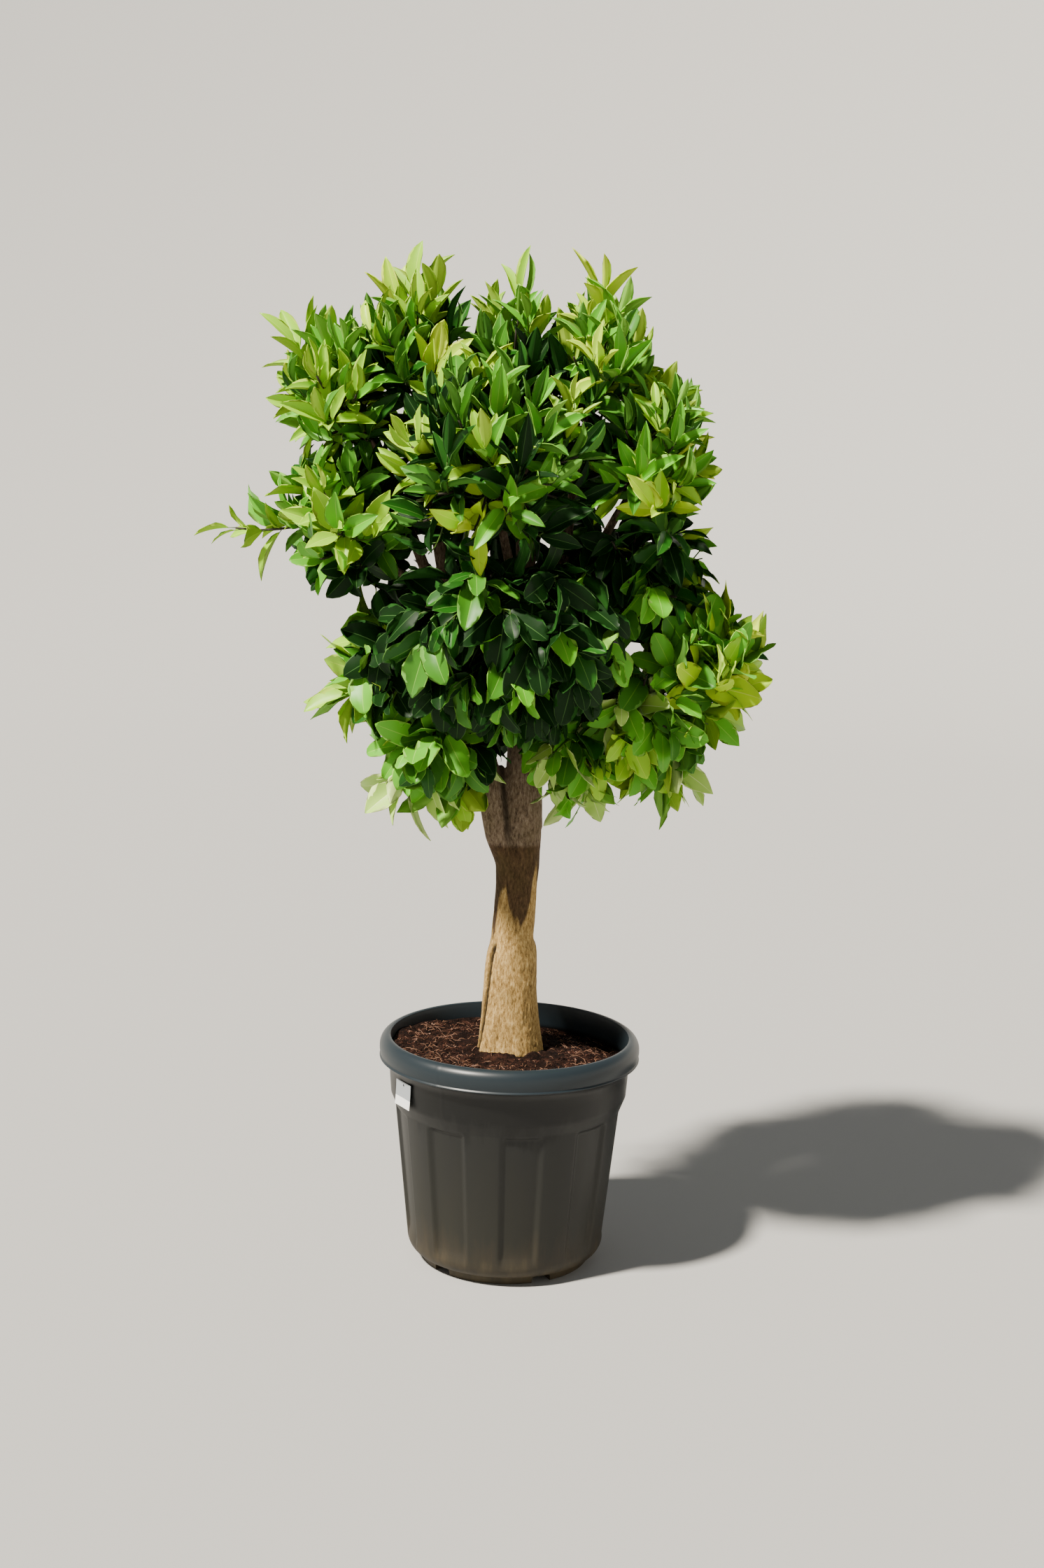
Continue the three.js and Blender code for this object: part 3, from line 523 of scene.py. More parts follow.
FORK_HEIGHT = 800
FORK_LOBES = ((-30, -13, 25), (13, 6, 33))  # the middle and radius of each
FLARE_TOP, FORK_FOOT = 470, 715
# the rootstock's deep fold: its top and depth, and the turns at which it lies there and at the soil
FOLD_TOP, FOLD_DEPTH, FOLD_TOP_TURN, FOLD_FOOT_TURN = 575, 11, 3.8, 3.52
# height, how far the trunk's middle is to the right of the pot's axis, and radius
TRUNK_SIZES = ((SOIL_LEVEL - 6, 1, 57.5), (SOIL_LEVEL, 1, 57), (404, 1, 54), (430, -1, 51), (475, -2, 48),
               (530, -1, 45.5), (556, 0, 43.8), (569, 1, 41), (583, 0, 37), (632, 3, 36.2), (683, 5, 36.2),
               (712, 6, 38), (735, 3, 41), (765, 0, 46), (FORK_HEIGHT, -5, 50))


def lobe_reach(centre, angle):
    """How far the fork's two lobes reach from a centre."""
    reach = 0
    for x, y, radius in FORK_LOBES:
        along = (x - centre) * math.cos(angle) + y * math.sin(angle)
        inside = radius ** 2 - (x - centre) ** 2 - y ** 2 + along ** 2
        if inside > 0:
            reach = max(reach, along + math.sqrt(inside))
    return reach


def fold_turn(z):
    """Where the fold lies round the stem."""
    share = (FOLD_TOP - z) / (FOLD_TOP - SOIL_LEVEL)
    return FOLD_TOP_TURN + (FOLD_FOOT_TURN - FOLD_TOP_TURN) * share


def trunk_rings():
    rows, sides = 90, 144
    heights = np.linspace(TRUNK_SIZES[0][0], FORK_HEIGHT, rows)
    known = [size[0] for size in TRUNK_SIZES]
    centres = np.interp(heights, known, [size[1] for size in TRUNK_SIZES])
    radii = np.interp(heights, known, [size[2] for size in TRUNK_SIZES])
    rings = []
    for z, centre, radius in zip(heights, centres, radii):
        flare = 1 - smooth(z, SOIL_LEVEL, FLARE_TOP)
        fold = 1 - smooth(z, FOLD_TOP - 20, FOLD_TOP + 12)
        forked = smooth(z, FORK_FOOT, FORK_HEIGHT)
        ring = []
        for side in range(sides):
            angle = 2 * math.pi * side / sides
            toes = flare * (3.5 * math.cos(3 * angle + 1.6) + 2 * math.cos(5 * angle))
            off = abs((angle - fold_turn(z) + math.pi) % (2 * math.pi) - math.pi)
            groove = fold * (2 * (1 - smooth(off, 0.12, 0.5)) - FOLD_DEPTH * (1 - smooth(off, 0, 0.15)))
            plain = radius * (1 - 0.1 * math.sin(angle) ** 2)
            shown = plain + (lobe_reach(centre, angle) - plain) * forked
            reach = shown + toes + groove
            ring.append(Vector((centre + reach * math.cos(angle), reach * math.sin(angle), z)))
        rings.append(ring)
    return rings


def bend(start, leave, end, arrive):
    """The four points of a curve with given directions at its ends."""
    reach = (end - start).length * 0.36
    return start, start + leave.normalized() * reach, end - arrive.normalized() * reach, end


def on_curve(curve, share):
    a, b, c, d = curve
    rest = 1 - share
    return a * rest ** 3 + b * (3 * rest * rest * share) + c * (3 * rest * share * share) + d * share ** 3


def curve_way(curve, share):
    a, b, c, d = curve
    rest = 1 - share
    way = (b - a) * (rest * rest) + (c - b) * (2 * rest * share) + (d - c) * (share * share)
    return way.normalized()


def limb_frame(way, chord):
    """Two directions square to a limb's way, which keep their turn all along its chord."""
    helper = Vector((1, 0, 0)) if abs(chord.y) > 0.75 else Vector((0, 1, 0))
    side = helper.cross(way).normalized()
    return side, way.cross(side)


def limb_rings(curve, radii, steps, sides):
    chord = (curve[3] - curve[0]).normalized()
    rings = []
    for step in range(steps + 1):
        share = step / steps
        centre = on_curve(curve, share)
        side, normal = limb_frame(curve_way(curve, share), chord)
        radius = radii[0] + (radii[1] - radii[0]) * share
        ring = []
        for i in range(sides):
            turn = 2 * math.pi * i / sides
            ring.append(centre + side * (radius * math.cos(turn)) + normal * (radius * math.sin(turn)))
        rings.append(ring)
    return rings


def add_skin(vertices, faces, rings):
    """Adds a closed skin over a row of rings, with a flat end on each."""
    base, count = len(vertices), len(rings[0])
    for ring in rings:
        vertices.extend(tuple(point * MM) for point in ring)
    faces.extend(ring_faces(range(base, len(vertices), count), count))


FORK_SINK = FORK_HEIGHT - 20
LIMB_SIDES, LIMB_STEP = 20, 14
WEB_RADII = (23, 8)
VOXEL = 2.5  # the grain of the mesh in which trunk and boughs grow together
# name, the limb it leaves, where it leaves that limb (on another bough, a share of its length), its
# tip, its radii at root and tip, and the ways it leaves and arrives in
BOUGHS = (
    ("left", "trunk", (-29, -13, FORK_SINK), (-168, 0, 1430), (25, 9), (-0.22, 0, 1), (-0.15, 0, 1)),
    ("right", "trunk", (13, 6, FORK_SINK), (-8, 10, 1440), (35, 10), (0, 0, 1), (-0.1, 0, 1)),
    ("left_upper", "left", 0.5, (-262, 0, 1440), (12, 6), (-0.6, 0, 1), (-0.6, 0, 1)),
    ("left_middle", "left", 0.36, (-232, -10, 1235), (11, 6), (-0.8, -0.1, 1), (-1, 0, 0.5)),
    ("left_lower", "left", 0.2, (-165, -10, 1035), (10, 5), (-1, -0.2, 0.9), (-1, 0, 0.2)),
    ("bottom_left", "left", 0.12, (-108, -60, 925), (8, 4.5), (-0.8, -1, 0.6), (-0.8, -0.5, -0.1)),
    ("top_right", "right", 0.44, (98, 0, 1450), (13, 7), (0.6, 0, 1), (0.2, 0, 1)),
    ("right_upper", "right", 0.36, (165, -10, 1335), (13, 7), (0.9, 0, 1), (0.6, 0, 1)),
    ("right_middle", "right", 0.29, (150, 20, 1185), (11, 6), (1, 0.2, 0.9), (1, 0, 0.6)),
    ("right_outer", "right", 0.22, (232, -40, 1030), (10, 5), (1, -0.2, 0.7), (1, -0.1, 0.2)),
    ("right_hanging", "right", 0.15, (170, -50, 950), (8, 4.5), (1, -0.5, 0.6), (1, -0.2, 0)),
    ("bottom_right", "right", 0.09, (92, -55, 915), (8, 4.5), (0.6, -1, 0.6), (0.8, -0.5, 0)),
    ("front_upper", "right", 0.52, (-40, -125, 1370), (11, 6), (-0.2, -1, 1), (0, -0.7, 1)),
    ("front_lower", "right", 0.25, (-20, -120, 1120), (11, 6), (-0.1, -1, 0.9), (0, -1, 0.5)),
    ("back_upper", "left", 0.52, (-70, 130, 1370), (11, 6), (0.2, 1, 1), (0, 0.7, 1)),
    ("back_lower", "left", 0.27, (-50, 120, 1120), (11, 6), (0.1, 1, 0.9), (0, 1, 0.5)),
)
boughs = {}
for name, parent, root, tip, radii, leave, arrive in BOUGHS:
    start = Vector(root) if parent == "trunk" else on_curve(boughs[parent]["curve"], root)
    curve = bend(start, Vector(leave), Vector(tip), Vector(arrive))
    boughs[name] = {"curve": curve, "radii": radii, "length": (curve[3] - curve[0]).length}


def bark_relief(point):
    """Height of the bark at a point, in millimetres: long shallow ridges, knots and fine fissures."""
    x, y, z = point
    ridges = noise.noise(Vector((x / 16, y / 16, z / 95)))
    fissures = 1 - abs(noise.noise(Vector((x / 5.5, y / 5.5, z / 30 + 9)))) * 2
    knots = noise.noise(Vector((x / 26 + 4, y / 26, z / 30)))
    thick = smooth(1100 - z, 0, 700)
    return float(thick) * (1.5 * ridges + 0.9 * knots - 0.9 * max(0.0, fissures - 0.72) * 3.5)


def make_limbs():
    vertices, faces = [], []
    add_skin(vertices, faces, trunk_rings())
    # a web of bark closes the crotch between the two limbs
    web_foot, web_tip = Vector((-11, -2, FORK_SINK)), Vector((-31, -2, 888))
    web = bend(web_foot, Vector((-0.1, 0, 1)), web_tip, Vector((-0.3, 0, 1)))
    add_skin(vertices, faces, limb_rings(web, WEB_RADII, 8, LIMB_SIDES))
    for bough in boughs.values():
        steps = max(8, round(bough["length"] / LIMB_STEP))
        add_skin(vertices, faces, limb_rings(bough["curve"], bough["radii"], steps, LIMB_SIDES))
    made = new_object("trunk_and_boughs", vertices, faces)
    merge = made.modifiers.new("grow_together", "REMESH")
    merge.mode = "VOXEL"
    merge.voxel_size = VOXEL * MM
    soften = made.modifiers.new("soften", "SMOOTH")
    soften.factor = 0.5
    soften.iterations = 3
    settle(made)
    mesh = made.data
    places, normals = np.empty(len(mesh.vertices) * 3), np.empty(len(mesh.vertices) * 3)
    mesh.vertices.foreach_get("co", places)
    mesh.vertex_normals.foreach_get("vector", normals)
    heights = np.array([bark_relief(point) for point in places.reshape(-1, 3) / MM])
    mesh.vertices.foreach_set("co", places + normals * np.repeat(heights * MM, 3))
    mesh.shade_smooth()
    mesh.update()
    return made


SMOOTHSTEP = {"interpolation_type": "SMOOTHSTEP"}
SUBTRACT = {"operation": "SUBTRACT"}
ABSOLUTE = {"operation": "ABSOLUTE"}
# metres from the floor: where each painted tone and the crotch's painted shade start and are full
PAINTED_SHADOW_FROM, PAINTED_SHADOW_FULL = 0.815, 0.841
# painted shadow: its pointed tongues, the shadows of single leaves, hang down by a share of this
SHADOW_TONGUE_LENGTH = 0.34  # the umber's pointed tongues hang down by a share of this
GREY_AND_SHADE_FROM, GREY_AND_SHADE_FULL = 0.748, 0.758
CROTCH_FROM, CROTCH_FULL = 0.735, 0.79
CROTCH_LEAN, CROTCH_PLACE = 0.12, 0.0808  # the crotch lies where x + lean * z is this

# Lemon bark, grown: thin and close, golden tan on the old stem and greyer higher up, with upright
# fissures, pale flecks and greenish dust. Above the golden stem the bark is painted umber, a painted
# shadow of the crown whose pointed tongues are the shadows of single leaves, and above that it is
# grey, painted darker than the stem as the crown's shade. The real fissures are under a millimetre
# wide; they are drawn coarser here, so that they show from the camera.
bark = new_material("grown_lemon_bark", "#A07C40", 0.85, 1.4, 0.2)
tree = bark.node_tree
place = node(tree, "TexCoord").outputs["Object"]
flat = node(tree, "SeparateXYZ", links={"Vector": place})
height = flat.outputs["Z"]
upright = node(tree, "Mapping", values={"Scale": (1, 1, 0.32)}, links={"Vector": place})
fibre = node(tree, "TexNoise", values={"Scale": 1 / (4 * MM), "Detail": 8, "Roughness": 0.8},
             links={"Vector": upright})
patch = node(tree, "TexNoise", values={"Scale": 1 / (45 * MM), "Detail": 4}, links={"Vector": place})
# the golden stem, the umber ramp that is the crown's painted shadow, and grey bark painted darker as shade
stem, painted_crown_shadow, grey_bark_and_shade = [node(tree, "ValToRGB", links={"Fac": fibre}, stops=stops) for stops in (
    ((0.32, "#3A2A12"), (0.44, "#82673A"), (0.56, "#AF925B"), (0.7, "#D2BA88")),
    ((0.34, "#1C130A"), (0.46, "#3F2F1F"), (0.7, "#665038")),
    ((0.34, "#281F17"), (0.46, "#5E4E3F"), (0.7, "#94836F")))]
# painted shadow: umber from a ragged height up, its lower edge drawn down in pointed tongues like leaf
# shadows
drawn = node(tree, "Mapping", values={"Scale": (1, 1, 0.12)}, links={"Vector": place})
shadow_tongues = node(tree, "TexNoise", values={"Scale": 1 / (24 * MM), "Detail": 1}, links={"Vector": drawn})
shadow_edge = node(tree, "Math", MULTIPLY_ADD, {1: SHADOW_TONGUE_LENGTH}, {0: shadow_tongues, 2: height})
rise = node(tree, "MapRange", SMOOTHSTEP, {"From Min": PAINTED_SHADOW_FROM, "From Max": PAINTED_SHADOW_FULL},
            {"Value": shadow_edge})
shaded = node(tree, "Mix", COLOURS, links={FACTOR: rise, FIRST: stem, SECOND: painted_crown_shadow})
# painted shade: above the tone step the bark is grey, and darker than the stem for the crown's shade
grey_and_shade_mask = node(tree, "MapRange", SMOOTHSTEP, {"From Min": GREY_AND_SHADE_FROM, "From Max": GREY_AND_SHADE_FULL}, {"Value": height})
grown = node(tree, "Mix", COLOURS, links={FACTOR: grey_and_shade_mask, FIRST: shaded.outputs[MIXED], SECOND: grey_bark_and_shade})
mossy = node(tree, "ValToRGB", links={"Fac": patch}, stops=((0.5, "#000000"), (0.72, "#9A9A9A")))
tinted = node(tree, "Mix", COLOURS, {SECOND: linear("#4F4526")},
              {FACTOR: mossy, FIRST: grown.outputs[MIXED]})
# painted shade: the rootstock's fold and the crotch between the two limbs are painted dark, the shade that
# lies in them
turned = node(tree, "Math", {"operation": "ARCTAN2"}, links={0: flat.outputs["Y"], 1: flat.outputs["X"]})
fold_way = node(tree, "MapRange", links={"Value": height},
                values={"From Min": SOIL_LEVEL * MM, "From Max": FOLD_TOP * MM,
                        "To Min": FOLD_FOOT_TURN - 2 * math.pi, "To Max": FOLD_TOP_TURN - 2 * math.pi})
off_fold = node(tree, "Math", SUBTRACT, links={0: turned, 1: fold_way})
fold_near = node(tree, "Math", ABSOLUTE, links={0: off_fold})
fold_shade = node(tree, "MapRange", SMOOTHSTEP,
                 {"From Min": 0.05, "From Max": 0.17, "To Min": 0.95, "To Max": 0}, {"Value": fold_near})
fold_end = node(tree, "MapRange", SMOOTHSTEP, {"From Min": (FOLD_TOP - 8) * MM, "To Min": 1,
                                               "From Max": (FOLD_TOP + 10) * MM, "To Max": 0},
                {"Value": height})
fold_shade_mask = node(tree, "Math", {"operation": "MULTIPLY"}, links={0: fold_shade, 1: fold_end})
leaning = node(tree, "Math", MULTIPLY_ADD, {1: CROTCH_LEAN}, {0: height, 2: flat.outputs["X"]})
off_crotch = node(tree, "Math", SUBTRACT, {1: CROTCH_PLACE}, {0: leaning})
crotch_near = node(tree, "Math", ABSOLUTE, links={0: off_crotch})
crotch_shade = node(tree, "MapRange", SMOOTHSTEP,
                   {"From Min": 1 * MM, "From Max": 9 * MM, "To Min": 0.75, "To Max": 0},
                   {"Value": crotch_near})
crotch_start = node(tree, "MapRange", SMOOTHSTEP, {"From Min": CROTCH_FROM, "From Max": CROTCH_FULL},
                    {"Value": height})
creased = node(tree, "Math", MULTIPLY_ADD, links={0: crotch_shade, 1: crotch_start, 2: fold_shade_mask})
painted_crease_shade = node(tree, "Mix", COLOURS, {SECOND: linear("#150F09")},
             {FACTOR: creased, FIRST: tinted.outputs[MIXED]})
crack = node(tree, "TexVoronoi", {"feature": "DISTANCE_TO_EDGE"}, {"Scale": 1 / (7 * MM)},
             {"Vector": upright})
relief = node(tree, "Bump", values={"Strength": 0.6, "Distance": 1.2 * MM}, links={"Height": fibre})
deeper = node(tree, "Bump", values={"Strength": 0.3, "Distance": 0.8 * MM},
              links={"Height": crack, "Normal": relief})
finish(tree, {"Base Color": painted_crease_shade.outputs[MIXED], "Normal": deeper})

limbs = make_limbs()
limbs.data.materials.append(bark)
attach(limbs, "root")
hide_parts("trunk", *("bough_" + name for name in boughs))

# The crown: from each bough's tip a stem grows to the heart of its mass, shoots fan out from it
# and carry side twigs, and leaves stand in a spiral on both. A mass keeps to its own space,
# between its neighbours' spaces and inside its reach, and its leaders end at the crown's tips.

# name, heart, reach along x, y and z, how much the leaves lift, the share of new growth, which also
# sets how light the leaves are painted (low in the crown's shade, painted shade), slot, and the tips
# of the leaders
MASSES = (
    ("left", (-185, -10, 1560), (130, 200, 172), 0.9, 0.9, "young_leaves",
     ((-192, -40, 1770), (-239, -20, 1742), (-146, -50, 1754))),
    ("right", (-25, 0, 1555), (120, 200, 165), 0.9, 0.85, "young_leaves",
     ((-5, -30, 1766), (-66, -20, 1709), (35, -60, 1690))),
    ("top_right", (115, -10, 1545), (125, 200, 165), 0.8, 0.98, "young_leaves",
     ((131, -30, 1774), (172, -50, 1720))),
    ("left_upper", (-310, -10, 1500), (112, 220, 170), 0.8, 0.9, "young_leaves",
     ((-436, -40, 1655), (-376, -20, 1672), (-430, -60, 1506))),
    ("left_middle", (-290, -10, 1315), (132, 230, 155), 0.45, 0.62, "grown_leaves",
     ((-572, -40, 1289), (-470, -50, 1335), (-432, -30, 1383))),
    ("left_lower", (-205, -10, 1075), (108, 210, 160), 0.1, 0.5, "shaded_leaves",
     ((-368, -40, 985), (-332, -60, 1034), (-292, -20, 1194))),
    ("bottom_left", (-130, -60, 935), (135, 165, 115), -0.3, 0.75, "shaded_leaves",
     ((-258, -90, 816), (-166, -100, 826), (-88, -70, 780))),
    ("bottom_right", (95, -60, 935), (120, 165, 110), -0.3, 0.8, "shaded_leaves",
     ((150, -90, 812), (80, -110, 818))),
    ("right_hanging", (215, -60, 1000), (135, 150, 155), -0.1, 0.75, "grown_leaves",
     ((334, -85, 856), (283, -60, 830), (268, -110, 1080))),
    ("right_outer", (305, -45, 1085), (135, 155, 125), 0.6, 0.85, "grown_leaves",
     ((440, -60, 1106), (414, -80, 1170), (380, -70, 946))),
    ("right_middle", (195, 0, 1240), (150, 220, 160), 0.25, 0.45, "grown_leaves",
     ((333, -20, 1206), (325, -40, 1290))),
    ("right_upper", (205, -10, 1420), (135, 220, 170), 0.7, 0.92, "young_leaves",
     ((248, -40, 1586), (300, -30, 1534), (338, -40, 1402))),
    ("front_upper", (-50, -185, 1400), (200, 165, 210), 0.6, 0.5, "grown_leaves", ()),
    ("front_lower", (-20, -185, 1140), (230, 165, 200), -0.25, 0.12, "shaded_leaves", ()),
    ("back_upper", (-55, 185, 1400), (220, 165, 210), 0.6, 0.5, "grown_leaves", ()),
    ("back_lower", (-35, 175, 1100), (240, 175, 230), -0.25, 0.15, "shaded_leaves", ()),
)
masses = {}
for name, heart, reach, lift, youth_and_light, slot, leaders in MASSES:
    masses[name] = {"heart": Vector(heart), "reach": reach, "lift": lift, "youth_and_light": youth_and_light, "slot": slot,
                    "leaders": [Vector(leader) for leader in leaders], "weight": (sum(reach) / 3) ** 2}

CROWN_HEART = Vector((-52, 0, 1280))
CROWN_REACH = (380, 340, 480)
SPIRAL = math.radians(137.5)  # the turn from one leaf, twig or shoot to the next
SHOOT_SPACING = 118
SPRAY_SPACING = 56  # between the tips of twigs at the crown's face
INNER_SPACING = 66  # and in its shaded inside
LIMB_MARGIN = 3
BOX_MARGIN = 7
REACH_LIMIT = 1.02  # how far a leaf's tip may go, as a share of its mass's reach
TWIG_LIMIT = 0.86  # and a twig's tip
SHOOT_SHORTEST, SPACE_STEP = 0.3, 0.04  # shares of the way from the heart to a shoot's end
SHOOT_ROOM, LEADER_ROOM = 50, 88  # kept free beyond a shoot's tip for its last leaf
SHOOT_LEAVES, SHOOT_LEAFY_LENGTH = 7, 95  # the leaves on a shoot's last stretch
TWIG_STEP, LEAF_STEP = 24, 14  # from twig to twig along a shoot, and from leaf to leaf along a twig
SHOOT_RADII, TWIG_RADII, STALK_RADII = (3.2, 1.7), (1.9, 1.2), (1.1, 0.9)
FIRST_SEED, SEED_STEP = 9000, 517


def power(mass, point):
    """How far a point is from a mass: its squared distance, less the mass's weight."""
    return (point - mass["heart"]).length_squared - mass["weight"]


def inside_space(name, point):
    """Whether a point is in a mass's own space, which is nearer to it than to any other mass."""
    own = power(masses[name], point)
    return all(power(mass, point) > own for other, mass in masses.items() if other != name)


def share_of(reach, off):
    """How far out a point is in a rounded space of a given reach: 1 at its face."""
    return math.sqrt(sum((o / r) ** 2 for o, r in zip(off, reach)))


def share_of_reach(name, point):
    return share_of(masses[name]["reach"], point - masses[name]["heart"])


def share_of_crown(point):
    return share_of(CROWN_REACH, point - CROWN_HEART)


def inside_part(point):
    """Whether a point is inside the box that the solids fill."""
    low, high = solid_box
    return all(a / MM + BOX_MARGIN < p < b / MM - BOX_MARGIN for a, p, b in zip(low, point, high))


ROD_COUNT = 8
# the trunk and boughs as straight rods, eight to a bough, which leaves and twigs keep clear of
limb_stretches = []
for low, high in zip(TRUNK_SIZES, TRUNK_SIZES[1:]):
    ends = Vector((low[1], 0, low[0])), Vector((high[1], 0, high[0]))
    limb_stretches.append((*ends, max(low[2], high[2]) + 4))
for bough in boughs.values():
    for step in range(ROD_COUNT):
        ends = [on_curve(bough["curve"], place / ROD_COUNT) for place in (step, step + 1)]
        thick = bough["radii"][0] + (bough["radii"][1] - bough["radii"][0]) * step / ROD_COUNT
        limb_stretches.append((*ends, thick))
limb_starts = np.array([tuple(s[0]) for s in limb_stretches])
limb_ways = np.array([tuple(s[1] - s[0]) for s in limb_stretches])
limb_lengths = (limb_ways ** 2).sum(axis=1)
limb_radii = np.array([s[2] for s in limb_stretches])


def clear_of_limbs(start, end, half_width):
    """Whether a leaf or twig from start to end passes all limbs with some room."""
    for share in (0.0, 0.25, 0.5, 0.75, 1.0):
        point = np.array(start.lerp(end, share))
        along = np.clip(((point - limb_starts) * limb_ways).sum(axis=1) / limb_lengths, 0, 1)
        nearest = limb_starts + limb_ways * along[:, None]
        gap = np.sqrt(((nearest - point) ** 2).sum(axis=1)) - limb_radii
        if gap.min() < half_width + LIMB_MARGIN:
            return False
    return True


def open_share(name, end):
    """How far the way from a mass's heart to an end stays in its own space, as a share of it."""
    heart = masses[name]["heart"]
    share = 0.1
    while share < 1 and inside_space(name, heart.lerp(end, share + SPACE_STEP)):
        share += SPACE_STEP
    return min(share, 1.0)


def shoot_ends(name, random):
    """The leaders, and ways evenly spread over the mass, each to where its own space ends."""
    mass = masses[name]
    ends = [(leader, leader) for leader in mass["leaders"]]
    ways = round(4 * math.pi * mass["weight"] / SHOOT_SPACING ** 2)
    for i in range(ways):
        z = 1 - 2 * (i + 0.5) / ways
        flat = math.sqrt(1 - z * z)
        way = Vector((flat * math.cos(i * SPIRAL), flat * math.sin(i * SPIRAL), z))
        size = 0.88 + 0.12 * next(random)
        end = mass["heart"] + Vector(w * r * size for w, r in zip(way, mass["reach"]))
        share = open_share(name, end)
        if share > SHOOT_SHORTEST:
            ends.append((mass["heart"].lerp(end, share), None))
    return ends


class Growth:
    """Leaves or twigs, gathered one by one to become one mesh."""

    def __init__(self):
        self.places, self.corners, self.sizes, self.tints, self.count = [], [], [], [], 0

    def add(self, places, corners, sizes, tints):
        self.places.append(places)
        self.corners.append(corners + self.count)
        self.sizes.append(sizes)
        self.tints.append(tints)
        self.count += len(places)

    def made(self, name, materials):
        corners, sizes = np.concatenate(self.corners), np.concatenate(self.sizes)
        mesh = bpy.data.meshes.new(name)
        mesh.vertices.add(self.count)
        mesh.vertices.foreach_set("co", (np.concatenate(self.places) * MM).ravel())
        mesh.loops.add(len(corners))
        mesh.loops.foreach_set("vertex_index", corners)
        mesh.polygons.add(len(sizes))
        mesh.polygons.foreach_set("loop_start", np.cumsum(sizes) - sizes)
        mesh.polygons.foreach_set("material_index", np.concatenate(self.tints))
        mesh.shade_smooth()
        mesh.update(calc_edges=True)
        for material in materials:
            mesh.materials.append(material)
        made = bpy.data.objects.new(name, mesh)
        bpy.context.scene.collection.objects.link(made)
        return made


# A leaf's own outline, from its stalk to its tip: lance-shaped on the crown's upper shoots, oval
# and blunt lower down. Its two skins meet at the margin, and strips follow margin and midrib.
STATIONS = np.array([0.0, 0.06, 0.18, 0.34, 0.5, 0.66, 0.81, 0.93, 1.0])
LANCE = np.array([0.06, 0.34, 0.72, 0.96, 1.0, 0.88, 0.59, 0.24, 0.03])
OVAL = np.array([0.06, 0.46, 0.79, 0.97, 1.0, 0.93, 0.74, 0.42, 0.05])
COLUMNS = np.array([-1.0, -0.91, -0.45, -0.03, 0.03, 0.45, 0.91, 1.0])
INNER = (2, 3, 4, 5)  # the columns that the lower skin has too, under the upper ones
UNDER_ROW = (0, 8, 9, 10, 11, 7)
PER_STATION = len(COLUMNS) + len(INNER)
LEAF_THICKNESS = 0.5
RIB_PROUD = 0.5
BLADE, RIB, MARGIN, UNDERSIDE, UNDER_RIB = range(5)


def joined(faces):
    """The corners of all faces in one row, and how many corners each face has."""
    return np.concatenate([np.array(f) for f in faces]), np.array([len(f) for f in faces])


def leaf_faces():
    """The corners of a leaf's faces, how many corners each has, and what part of the leaf it is."""
    faces, parts = [], []
    for row in range(len(STATIONS) - 1):
        a, b = row * PER_STATION, (row + 1) * PER_STATION
        for column, part in enumerate((MARGIN, BLADE, BLADE, RIB, BLADE, BLADE, MARGIN)):
            faces.append((a + column, b + column, b + column + 1, a + column + 1))
            parts.append(part)
        for place, part in enumerate((UNDERSIDE, UNDERSIDE, UNDER_RIB, UNDERSIDE, UNDERSIDE)):
            p, q = UNDER_ROW[place], UNDER_ROW[place + 1]
            faces.append((a + p, a + q, b + q, b + p))
            parts.append(part)
    around = tuple(range(len(COLUMNS))) + tuple(reversed(UNDER_ROW[1:-1]))
    last = (len(STATIONS) - 1) * PER_STATION
    faces += [around, tuple(last + i for i in reversed(around))]
    parts += [RIB, BLADE]
    return *joined(faces), np.array(parts)


LEAF_CORNERS, LEAF_SIZES, LEAF_PARTS = leaf_faces()


def leaf_places(root, along, upward, form):
    """The vertices of one leaf, in millimetres: station by station, upper skin and then lower."""
    side = upward.cross(along).normalized()
    normal = along.cross(side).normalized()
    along, side, normal, root = (np.array(v) for v in (along, side, normal, root))
    s, t = STATIONS[:, None], COLUMNS[None, :]
    # the midrib bends down in an arc, and the blade turns round it by the leaf's twist
    middles = form["arch"] * (STATIONS[1:] + STATIONS[:-1]) / 2
    steps = np.diff(STATIONS) * form["length"]
    forward = np.concatenate([[0], np.cumsum(steps * np.cos(middles))])
    sunk = np.concatenate([[0], np.cumsum(steps * np.sin(middles))])
    spine = root + forward[:, None] * along - sunk[:, None] * normal
    lift = np.sin(form["arch"] * s) * along + np.cos(form["arch"] * s) * normal
    turn = form["twist"] * s
    across, lift = side * np.cos(turn) + lift * np.sin(turn), lift * np.cos(turn) - side * np.sin(turn)
    # the two halves fold up from the midrib, curl in and ripple towards the margin
    half = form["breadth"][:, None] * form["width"] / 2
    fold = form["fold"]
    out = half * t * (1 - 0.16 * fold * fold * t * t)
    cup = half * fold * (0.75 * np.abs(t) + 0.4 * t * t)
    ripple = form["wave"] * half * t * t * np.sin(2 * math.pi * (1.7 * s + form["phase"]) + 1.3 * t)
    upper = spine[:, None, :] + out[:, :, None] * across[:, None, :]
    upper = upper + (cup + ripple)[:, :, None] * lift[:, None, :]
    depth = LEAF_THICKNESS + RIB_PROUD * np.array([0, 1, 1, 0])[None, :] * form["breadth"][:, None]
    lower = upper[:, INNER, :] - depth[:, :, None] * lift[:, None, :]
    return np.concatenate([upper, lower], axis=1).reshape(-1, 3)


twigs = Growth()


def grow_twig(curve, radii, steps, sides, woody):
    """Adds a twig, shoot or leaf stalk along a curve."""
    places = np.array([tuple(point) for ring in limb_rings(curve, radii, steps, sides) for point in ring])
    corners, sizes = joined(ring_faces(range(0, len(places), sides), sides))
    twigs.add(places, corners, sizes, np.full(len(sizes), int(woody)))


